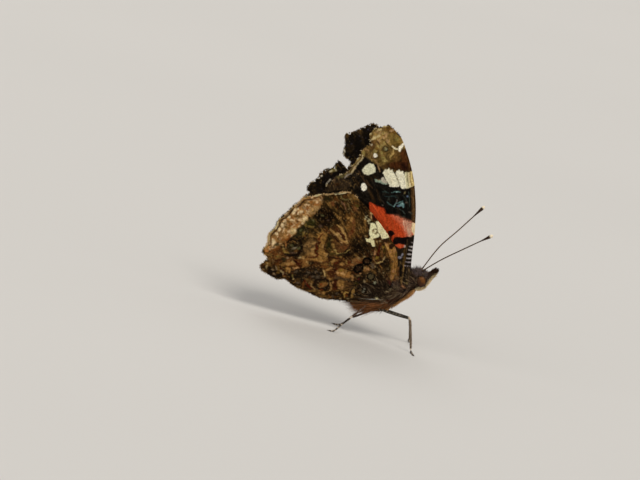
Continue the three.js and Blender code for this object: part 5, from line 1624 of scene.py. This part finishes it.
def on_top_of_head(middle, normal):
    return ((middle[:, 0] > 3.4) & (middle[:, 0] < 6.7)) * (normal[:, 2] > 0.35)


def on_face(middle, normal):
    x, y, z = middle.T
    return (x > 6.2) * ((z > 1.5) & (z < 3.4)) * (np.abs(y) < 1.1)


def at_wing_root(middle, normal):
    x, _, z = middle.T
    return ((x > 0.2) & (x < 3.8) & (z > 0.2)) * (np.abs(normal[:, 1]) > 0.35)


def on_thorax(middle, normal):
    there = (middle[:, 0] <= 4.6) & (middle[:, 0] > -4.0) & (normal[:, 2] > -0.5)
    return there * (1 - 0.8 * at_wing_root(middle, normal))


def on_chest(middle, normal):
    return ((middle[:, 0] <= 5.3) & (middle[:, 0] > -4.2)) * (normal[:, 2] < -0.1)


def on_abdomen(middle, normal):
    return (middle[:, 0] <= -3.4) * 1.0


def behind_the_legs(middle, normal):
    x, _, z = middle.T
    return ramp(x, 1.2, -2.0) * (x > -5.2) * (z < -1.9)


def on_wing_foot(middle, normal):
    """The lowest part of a forewing's outer face."""
    return (normal[:, 1] * middle[:, 1] > 0) * ramp(middle[:, 2], 5.4, 4.2)


def on_wing_base(middle, normal):
    """The part of a hindwing's outer face near its hinge."""
    x, y, z = middle.T
    thick = 0.1 + ramp(x - 0.5 * z, -5.0, -1.0)
    return (normal[:, 1] * y > 0) * ramp(x, -9.0, -3.5) * ramp(z, 2.0, 0.2) * thick


def on_marks(middle, normal):
    """The places of the marks that tufts carry."""
    p = body_paint(middle, "000000")
    p.lines([("ffffff", *row) for _, *row in TUFT_LINES], 0.5, 1.0)
    p.spots([("ffffff", *row) for _, *row in TUFT_SPOTS], 0.5, 1.0)
    return p.colour[:, 0] * (normal[:, 1] * middle[:, 1] > 0)


def marks_within(where):
    """The marks in one of the places above."""
    return lambda middle, normal: on_marks(middle, normal) * (where(middle, normal) > 0)


skin = skin_part()
make("body_skin", skin, SKIN, "body_fur", "head", "thorax", "abdomen")

# Settings that several coats share
DARK = dict(shades=(0.1, 0.4))
MARKS = dict(tip=1.1, shades=(0.8, 1.2), clumps=0.0)
SCALES = dict(shades=(0.7, 1.4), clumps=0.25)

coat("head_coat", skin, 3200, on_head, 0.6, 0.13, 0.35, "head_fur", over_head, 0.32, pale=0.08,
     shades=(0.2, 2.3))
coat("head_crest", skin, 1300, on_top_of_head, 1.0, 0.12, 0.1, "head_fur", upright, 0.4, pale=0.1)
coat("head_spikes", skin, 220, on_top_of_head, 1.4, 0.12, 0.1, "head_fur", upright, 0.3, tip=0.8)
coat("face_coat", skin, 1500, on_face, 1.15, 0.075, 0.1, "head_fur", forwards, 0.16, pale=0.05)
coat("thorax_coat", skin, 7600, on_thorax, 1.15, 0.12, 0.32, "body_fur", over_body, 0.32, pale=0.1)
coat("chest_coat", skin, 6400, on_chest, 1.15, 0.11, 0.35, "body_fur", over_body, 0.26, pale=0.05)
coat("thorax_wisps", skin, 420, on_thorax, 1.8, 0.13, 0.22, "body_fur", over_body, 0.3, pale=0.5, **DARK)
coat("chest_wisps", skin, 420, on_chest, 1.8, 0.13, 0.3, "body_fur", over_body, 0.2, pale=0.4, **DARK)
coat("neck_wisps", skin, 220, on_head, 0.9, 0.13, 0.3, "head_fur", over_head, 0.3, pale=0.5, **DARK)
coat("body_marks", skin, 2600, on_marks, 0.32, 0.13, 0.25, "body_fur", over_body, 0.15, sink=-0.22, **MARKS)
coat("chest_tuft", skin, 3000, behind_the_legs, 4.8, 0.09, 0.05, "body_fur", backwards, 0.14, tip=2.2)
coat("abdomen_coat", skin, 8500, on_abdomen, 0.42, 0.12, 0.16, "abdomen_scales", over_body, 0.12)
coat("wing_root_scales", skin, 4600, at_wing_root, 0.8, 0.14, 0.06, "body_fur", up_the_veins, 0.06, tip=1.2,
     **SCALES)
for word, (fore_part, hind_part) in wing_parts.items():
    coat("wing_base_hair_" + word, hind_part, 3000, on_wing_base, 1.0, 0.1, 0.2, "body_fur", over_wing, 0.3,
         pale=0.05, shades=(0.25, 1.4))
    coat("wing_base_marks_" + word, hind_part, 700, marks_within(on_wing_base), 0.32, 0.13, 0.25, "body_fur",
         over_wing, 0.15, sink=-0.2, **MARKS)
    coat("wing_foot_marks_" + word, fore_part, 700, marks_within(on_wing_foot), 0.32, 0.13, 0.2, "body_fur",
         down_the_veins, 0.1, sink=-0.1, **MARKS)
    coat("wing_base_wisps_" + word, hind_part, 240, on_wing_base, 1.5, 0.12, 0.2, "body_fur", over_wing, 0.3,
         pale=0.3, **DARK)
    coat("wing_base_scales_" + word, fore_part, 1500, on_wing_foot, 0.75, 0.14, 0.05, "body_fur",
         down_the_veins, 0.06, tip=1.1, **SCALES)


# Eyes

def eye_tint(points):
    """Brown, with a painted highlight in front and above and painted shade behind, and darker round the rim.
    """
    x, _, z = points.T
    ahead, rise = x - EYE_AT[0], z - EYE_AT[2]
    # lit rises towards the front and top: a painted highlight where it is high, painted shade where it is
    # low.
    lit = ahead + 0.8 * rise + 0.7 * rough_noise(x * 1.7 + 9, z * 1.7, 4)
    tint = covered(evenly("3e220a", len(points)), "623a10", ramp(lit, 0.0, 0.9))
    tint = covered(tint, "2a1506", ramp(lit, -0.2, -1.2))
    away = np.hypot(ahead / EYE_RADII[0], rise / EYE_RADII[2])
    return covered(tint, "1d0f06", ramp(away, 0.72, 0.98) * 0.8)


for word, side in SIDES.items():
    part = ball(on_side(EYE_AT, side), EYE_RADII, EYE_PITCH, eye_tint)
    make("eye_globe_" + word, part, EYE_LENS, "eye", "eye_" + word)


# Palps, held up together in front of the face

PALP_PATH = ((4.9, 0, 0.0), (6.3, 0, 0.42), (7.12, 0.03, 1.35), (7.95, 0.07, 2.6), (9.1, 0.12, 3.66))
PALP_APART = 0.85


def profile(*rows):
    """A limb's radius, from shares of its length and the radius at each."""
    shares, radii = zip(*rows)
    return lambda t: np.interp(t, shares, radii)


def by_place(tint):
    """A limb's tint that depends on its points only."""
    return lambda t, turn, points: tint(points)


def brush(core, path, count, stray, tint, shades, sizes, width, tip, lift, rings):
    """The coat of a palp or of a foreleg, which lies along it."""
    roots, normals, places = scatter(core, count, random)
    along = unit(along_path(path, roots, rings) + random.normal(0, stray, roots.shape))
    tints = tint(roots) * random.uniform(*shades, (count, 1))
    size = random.uniform(*sizes, count)
    return locks(roots, along, normals, size, width, tints, np.clip(tints * tip, 0, 1), places, lift)


def palp_tint(points):
    """Dark above and in front of the face, cream along the lower edge."""
    x, _, z = points.T
    middle = smooth_path(PALP_PATH, 60)
    gap = np.abs(x[:, None] - middle[None, :, 0]) + 0.6 * np.abs(z[:, None] - middle[None, :, 2])
    beside = middle[gap.argmin(1)]
    below = beside[:, 2] - z + 0.55 * (x - beside[:, 0])
    edge = 0.06 + 0.16 * ramp(x, 8.1, 9.2)
    cream = ramp(below + 0.8 * ramp(6.6 - x, 0, 0.8) - edge, 0, 0.25) * (1 - 0.35 * ramp(x, 7.6, 9.2))
    dark = covered(evenly("2e1c11", len(points)), "43342e", ramp(8.2 - x, 0, 0.9))
    return covered(dark, "d0bb92", cream)


PALP_RADIUS = profile((0, 0.16), (0.2, 0.24), (0.45, 0.42), (0.7, 0.47), (0.9, 0.34), (1, 0.18))
for word, side in SIDES.items():
    path = [(x, side * (PALP_APART - y), z) for x, y, z in PALP_PATH]
    core = tube(path, PALP_RADIUS, 46, 18, by_place(palp_tint), 0.7)
    hair = brush(core, path, 3600, 0.27, palp_tint, (0.5, 1.3), (0.35, 0.95), 0.09, 1.3, 0.36, rings=80)
    make("palp_core_" + word, core, SKIN, "palp", "palp_" + word)
    make("palp_coat_" + word, hair, HAIR, "palp")


# Tongue, rolled up between the palps

TONGUE_MIDDLE = (7.62, 0, 1.75)
TONGUE_TURNS = 2.6


def tongue_tint(t, turn, points):
    return evenly("3d2213", len(points)) * (1 + 0.3 * np.sin(t * 300))[:, None]


roll = np.linspace(0, 1, 90)
roll_x, roll_z = rotated(0.08 + 0.2 * roll, 0, -roll * 2 * np.pi * TONGUE_TURNS)
spiral = np.stack([roll_x, 0 * roll, roll_z], 1) + TONGUE_MIDDLE
make("tongue", tube(spiral, lambda t: 0.03 + 0.02 * t, 150, 10, tongue_tint), HORN, "proboscis", "proboscis")


# Feelers

FEELER_BASE = (6.1, 0.55, 3.6)
FEELER_LENGTH = 19.2
FEELER_RINGS = 36
# The direction of each, and how far it rises above a straight line at two places
FEELERS = {"right": ((0.75, -0.475, 0.46), (0.38, 0.25)), "left": ((0.69, 0.3, 0.66), (1.1, 0.55))}
FEELER_PROFILE = profile((0, 0.2), (0.03, 0.2), (0.1, 0.12), (0.84, 0.115), (0.9, 0.21), (0.955, 0.34),
                         (0.985, 0.33), (1, 0.12))


def feeler_tint(t, turn, points):
    """A dark shaft with paler rings, and a club with a cream tip."""
    ring = 0.5 + 0.5 * np.sin(t * 2 * np.pi * FEELER_RINGS)
    tint = covered(evenly("2f1d0e", len(t)), "735836", ramp(ring, 0.75, 0.95) * ramp(t, 0.86, 0.8))
    return covered(tint, "ece0c6", ramp(t, 0.962, 0.974))


def feeler_radius(t):
    return FEELER_PROFILE(t) + 0.012 * np.sin(t * 2 * np.pi * FEELER_RINGS)


for word, side in SIDES.items():
    direction, (low_rise, high_rise) = FEELERS[word]
    reach = np.array(direction) / np.linalg.norm(direction) * FEELER_LENGTH
    start = on_side(FEELER_BASE, side)
    bends = ((-0.03, 0), (0.28, low_rise), (0.6, high_rise), (1, 0))
    path = [start + reach * t + (0, 0, rise) for t, rise in bends]
    part = tube(path, feeler_radius, 420, 14, feeler_tint)
    make("feeler_" + word, part, HORN, "antenna", "antenna_" + word)


# Legs

# Hip, knee and ankle, then the points of the foot, in the floor's frame with Y the distance out to its side
LEGS = {
    "midleg_right": (((-1.2, 1.05, 6.4), (5.2, 4.4, 6.55), (6.9, 5.2, 0.5)),
                     ((6.93, 5.3, 0.36), (7.1, 6.3, 0.17), (7.5, 9.0, 0.14))),
    "midleg_left": (((-1.2, 1.05, 6.4), (5.45, 3.8, 5.6), (6.9, 7.0, 0.5)),
                    ((6.9, 7.15, 0.36), (6.9, 8.1, 0.17), (6.9, 10.4, 0.14))),
    "hindleg_right": (((-1.9, 1.0, 7.0), (-4.15, 1.7, 6.5), (-6.6, 4.9, 3.9)),
                      ((-6.7, 4.93, 3.8), (-8.2, 5.2, 1.8), (-9.3, 5.4, 0.36), (-10.4, 5.6, 0.13))),
    "hindleg_left": (((-1.6, 1.0, 7.0), (-1.9, 2.6, 5.7), (-6.05, 3.6, 2.6)),
                     ((-6.2, 3.65, 2.5), (-7.2, 4.1, 1.2), (-8.2, 4.6, 0.32), (-9.4, 5.1, 0.13))),
}
# The tints of thigh, shin and foot, then the share of the leg that is pale at the knee
LEG_TINTS = {
    "midleg": ("1d1b12", "6a5a4a", "241a12", 0.07),
    "hindleg": ("2a180e", "3e271a", "1f1711", 0.0001),
}
THIGH_RADIUS = profile((0, 0.2), (0.25, 0.25), (0.6, 0.25), (0.93, 0.2), (1, 0.12))
SHIN_RADIUS = profile((0, 0.1), (0.08, 0.22), (0.3, 0.19), (0.9, 0.22), (1, 0.1))
FOOT_RADIUS = profile((0, 0.12), (0.1, 0.19), (0.9, 0.15), (1, 0.07))
FOOT_JOINTS = (0.42, 0.6, 0.74, 0.87)
FLOOR_GAP = 0.01


def foot_radius(t):
    """The foot's radius, pinched at its joints."""
    pinch = min(abs(t - at) for at in FOOT_JOINTS)
    return FOOT_RADIUS(t) - 0.035 * np.exp(-(pinch / 0.02) ** 2)


def leg_tint(code, pale_start, pale_end, rings, seed):
    """A leg's scales, mottled, with pale scales at the ends and round the joints of the foot."""
    def tint(t, turn, points):
        grain = rough_noise(t * 30, turn * 1.4, seed)
        colour = evenly(code, len(t)) * (1 + 0.5 * grain[:, None])
        pale = np.maximum(ramp(t, pale_start, pale_start / 2), ramp(t, 1 - pale_end, 1 - pale_end / 2))
        pale = np.maximum(pale, 0.35 * ramp(rough_noise(t * 36, turn * 2.2, seed + 3), 0.3, 0.6))
        for at in rings:
            pale = np.maximum(pale, ramp(np.abs(t - at), 0.032, 0.014))
        return covered(colour, "d8c9b4", pale * 0.9)
    return tint


def spines(path, count, length, lean):
    """Stiff bristles in rows along a limb."""
    middle = smooth_path(path, 60)
    spot = random.integers(3, 57, count)
    along = unit(np.gradient(middle, axis=0))[spot]
    side = unit(np.cross(along, random.normal(0, 1, (count, 3))))
    tints = evenly("2a1c12", count) * random.uniform(0.6, 1.8, (count, 1))
    places = np.stack([random.random(count), spot / len(middle)], 1)
    size = length * random.uniform(0.6, 1.2, count)
    roots, along = middle[spot] + side * 0.12, unit(side * lean + along)
    return locks(roots, along, side, size, 0.05, tints, tints, places, 0.1)


def claws(end, ahead):
    """Two curved claws at the foot's tip."""
    parts = []
    for turn in (-0.3, 0.3):
        flat = np.array((*rotated(ahead[0], ahead[1], turn), 0))
        bends = ((-0.05, 0), (0.18, 0.05), (0.36, -0.07))
        path = from_floor([end + flat * reach + (0, 0, rise) for reach, rise in bends])
        parts.append(tube(path, lambda t: 0.05 * (1 - t) + 0.012, 10, 8,
                          by_place(lambda points: evenly("20140c", len(points)))))
    return parts


def above_floor(part):
    """The part with what would reach through the floor pressed flat on it."""
    points = to_floor(part[0])
    points[:, 2] = np.maximum(points[:, 2], FLOOR_GAP - OFFSET[2])
    return (from_floor(points), *part[1:])


for name, (joints, foot) in LEGS.items():
    kind, word = name.split("_")
    hip, knee, ankle = on_side(joints, SIDES[word])
    toes = on_side(foot, SIDES[word])
    upper, shin, sole, knee_pale = LEG_TINTS[kind]
    thigh_path = from_floor([hip, (hip + knee) / 2 - (0, 0, 0.06), knee])
    shin_path = from_floor([knee, (knee + ankle) / 2 + (0.06, 0, 0), ankle])
    foot_path = from_floor(toes)
    thigh = tube(thigh_path, THIGH_RADIUS, 50, 18, leg_tint(upper, 0.01, knee_pale, (), 31))
    tibia = tube(shin_path, SHIN_RADIUS, 60, 16, leg_tint(shin, knee_pale / 2, 0.07, (), 37))
    tarsus = tube(foot_path, foot_radius, 110, 14, leg_tint(sole, 0.05, 0.01, FOOT_JOINTS, 41))
    ahead = unit(toes[-1:] - toes[-2:-1])[0]
    thigh = join(thigh, spines(thigh_path, 320, 0.26, 0.3))
    tibia = above_floor(join(tibia, spines(shin_path, 130, 0.4, 0.8)))
    tarsus = above_floor(join(tarsus, spines(foot_path, 90, 0.22, 0.7), *claws(toes[-1], ahead)))
    make(kind + "_thigh_" + word, thigh, HORN, "leg", kind + "_femur_" + word)
    make(kind + "_shin_" + word, tibia, HORN, "leg", kind + "_tibia_" + word)
    make(kind + "_foot_" + word, tarsus, HORN, "leg", kind + "_tarsus_" + word)


# Brush-like forelegs, folded against the chest

FORELEG_BASE = (4.75, 0.85, -0.1)
FORELEG_PATH = ((0, 0, 0), (-1.2, 0.2, -1.15), (-2.6, 0.1, -2.0), (-4, 0, -3.1))
FORELEG_RADIUS = profile((0, 0.16), (0.3, 0.2), (1, 0.07))
for word, side in SIDES.items():
    path = on_side(FORELEG_BASE, side) + on_side(FORELEG_PATH, side)
    core = tube(path, FORELEG_RADIUS, 40, 14, by_place(body_tint))
    hair = brush(core, path, 1500, 0.25, body_tint, (0.8, 1.3), (0.4, 0.9), 0.08, 1.4, 0.35, rings=60)
    make("foreleg_core_" + word, core, SKIN, "body_fur", "foreleg_" + word)
    make("foreleg_coat_" + word, hair, HAIR, "body_fur")


# Floor and light

def add_floor():
    bpy.ops.mesh.primitive_plane_add(size=12, location=(0, 0, 0))
    floor = bpy.context.object
    floor.name = "floor"
    material, nodes, links, shader = new_material("floor_paper")
    pattern = nodes.new("ShaderNodeTexNoise")
    pattern.inputs["Scale"].default_value = 30
    tint = spread(nodes, links, pattern.outputs["Fac"], 0.60, 0.64)
    blend = nodes.new("ShaderNodeCombineColor")
    for channel in ("Red", "Green", "Blue"):
        links.new(tint, blend.inputs[channel])
    links.new(blend.outputs["Color"], shader.inputs["Base Color"])
    shader.inputs["Roughness"].default_value = 0.9
    shader.inputs["Specular IOR Level"].default_value = 0.1
    floor.data.materials.append(material)


def add_sun(name, place, softness, strength, tint):
    """A far lamp that shines from place towards the middle of the floor."""
    data = bpy.data.lights.new(name, "SUN")
    data.angle = softness
    data.energy = strength
    data.color = tint
    lamp = bpy.data.objects.new(name, data)
    bpy.context.scene.collection.objects.link(lamp)
    lamp.rotation_euler = (-Vector(place)).to_track_quat("-Z", "Y").to_euler()


def add_light():
    world = bpy.data.worlds.new("studio")
    world.use_nodes = True
    backdrop = world.node_tree.nodes["Background"]
    backdrop.inputs["Color"].default_value = (1.0, 0.97, 0.92, 1)
    backdrop.inputs["Strength"].default_value = 0.45
    bpy.context.scene.world = world
    add_sun("key", (0.25, -0.45, 0.6), 0.5, 1.7, (1.0, 0.93, 0.83))
    add_sun("fill", (-0.6, -0.5, 0.35), 1.0, 0.5, (1.0, 0.96, 0.9))
    add_sun("rim", (-0.1, 0.6, 0.5), 0.6, 0.6, (1.0, 0.96, 0.9))
    bpy.context.scene.view_settings.view_transform = "Standard"


add_floor()
add_light()
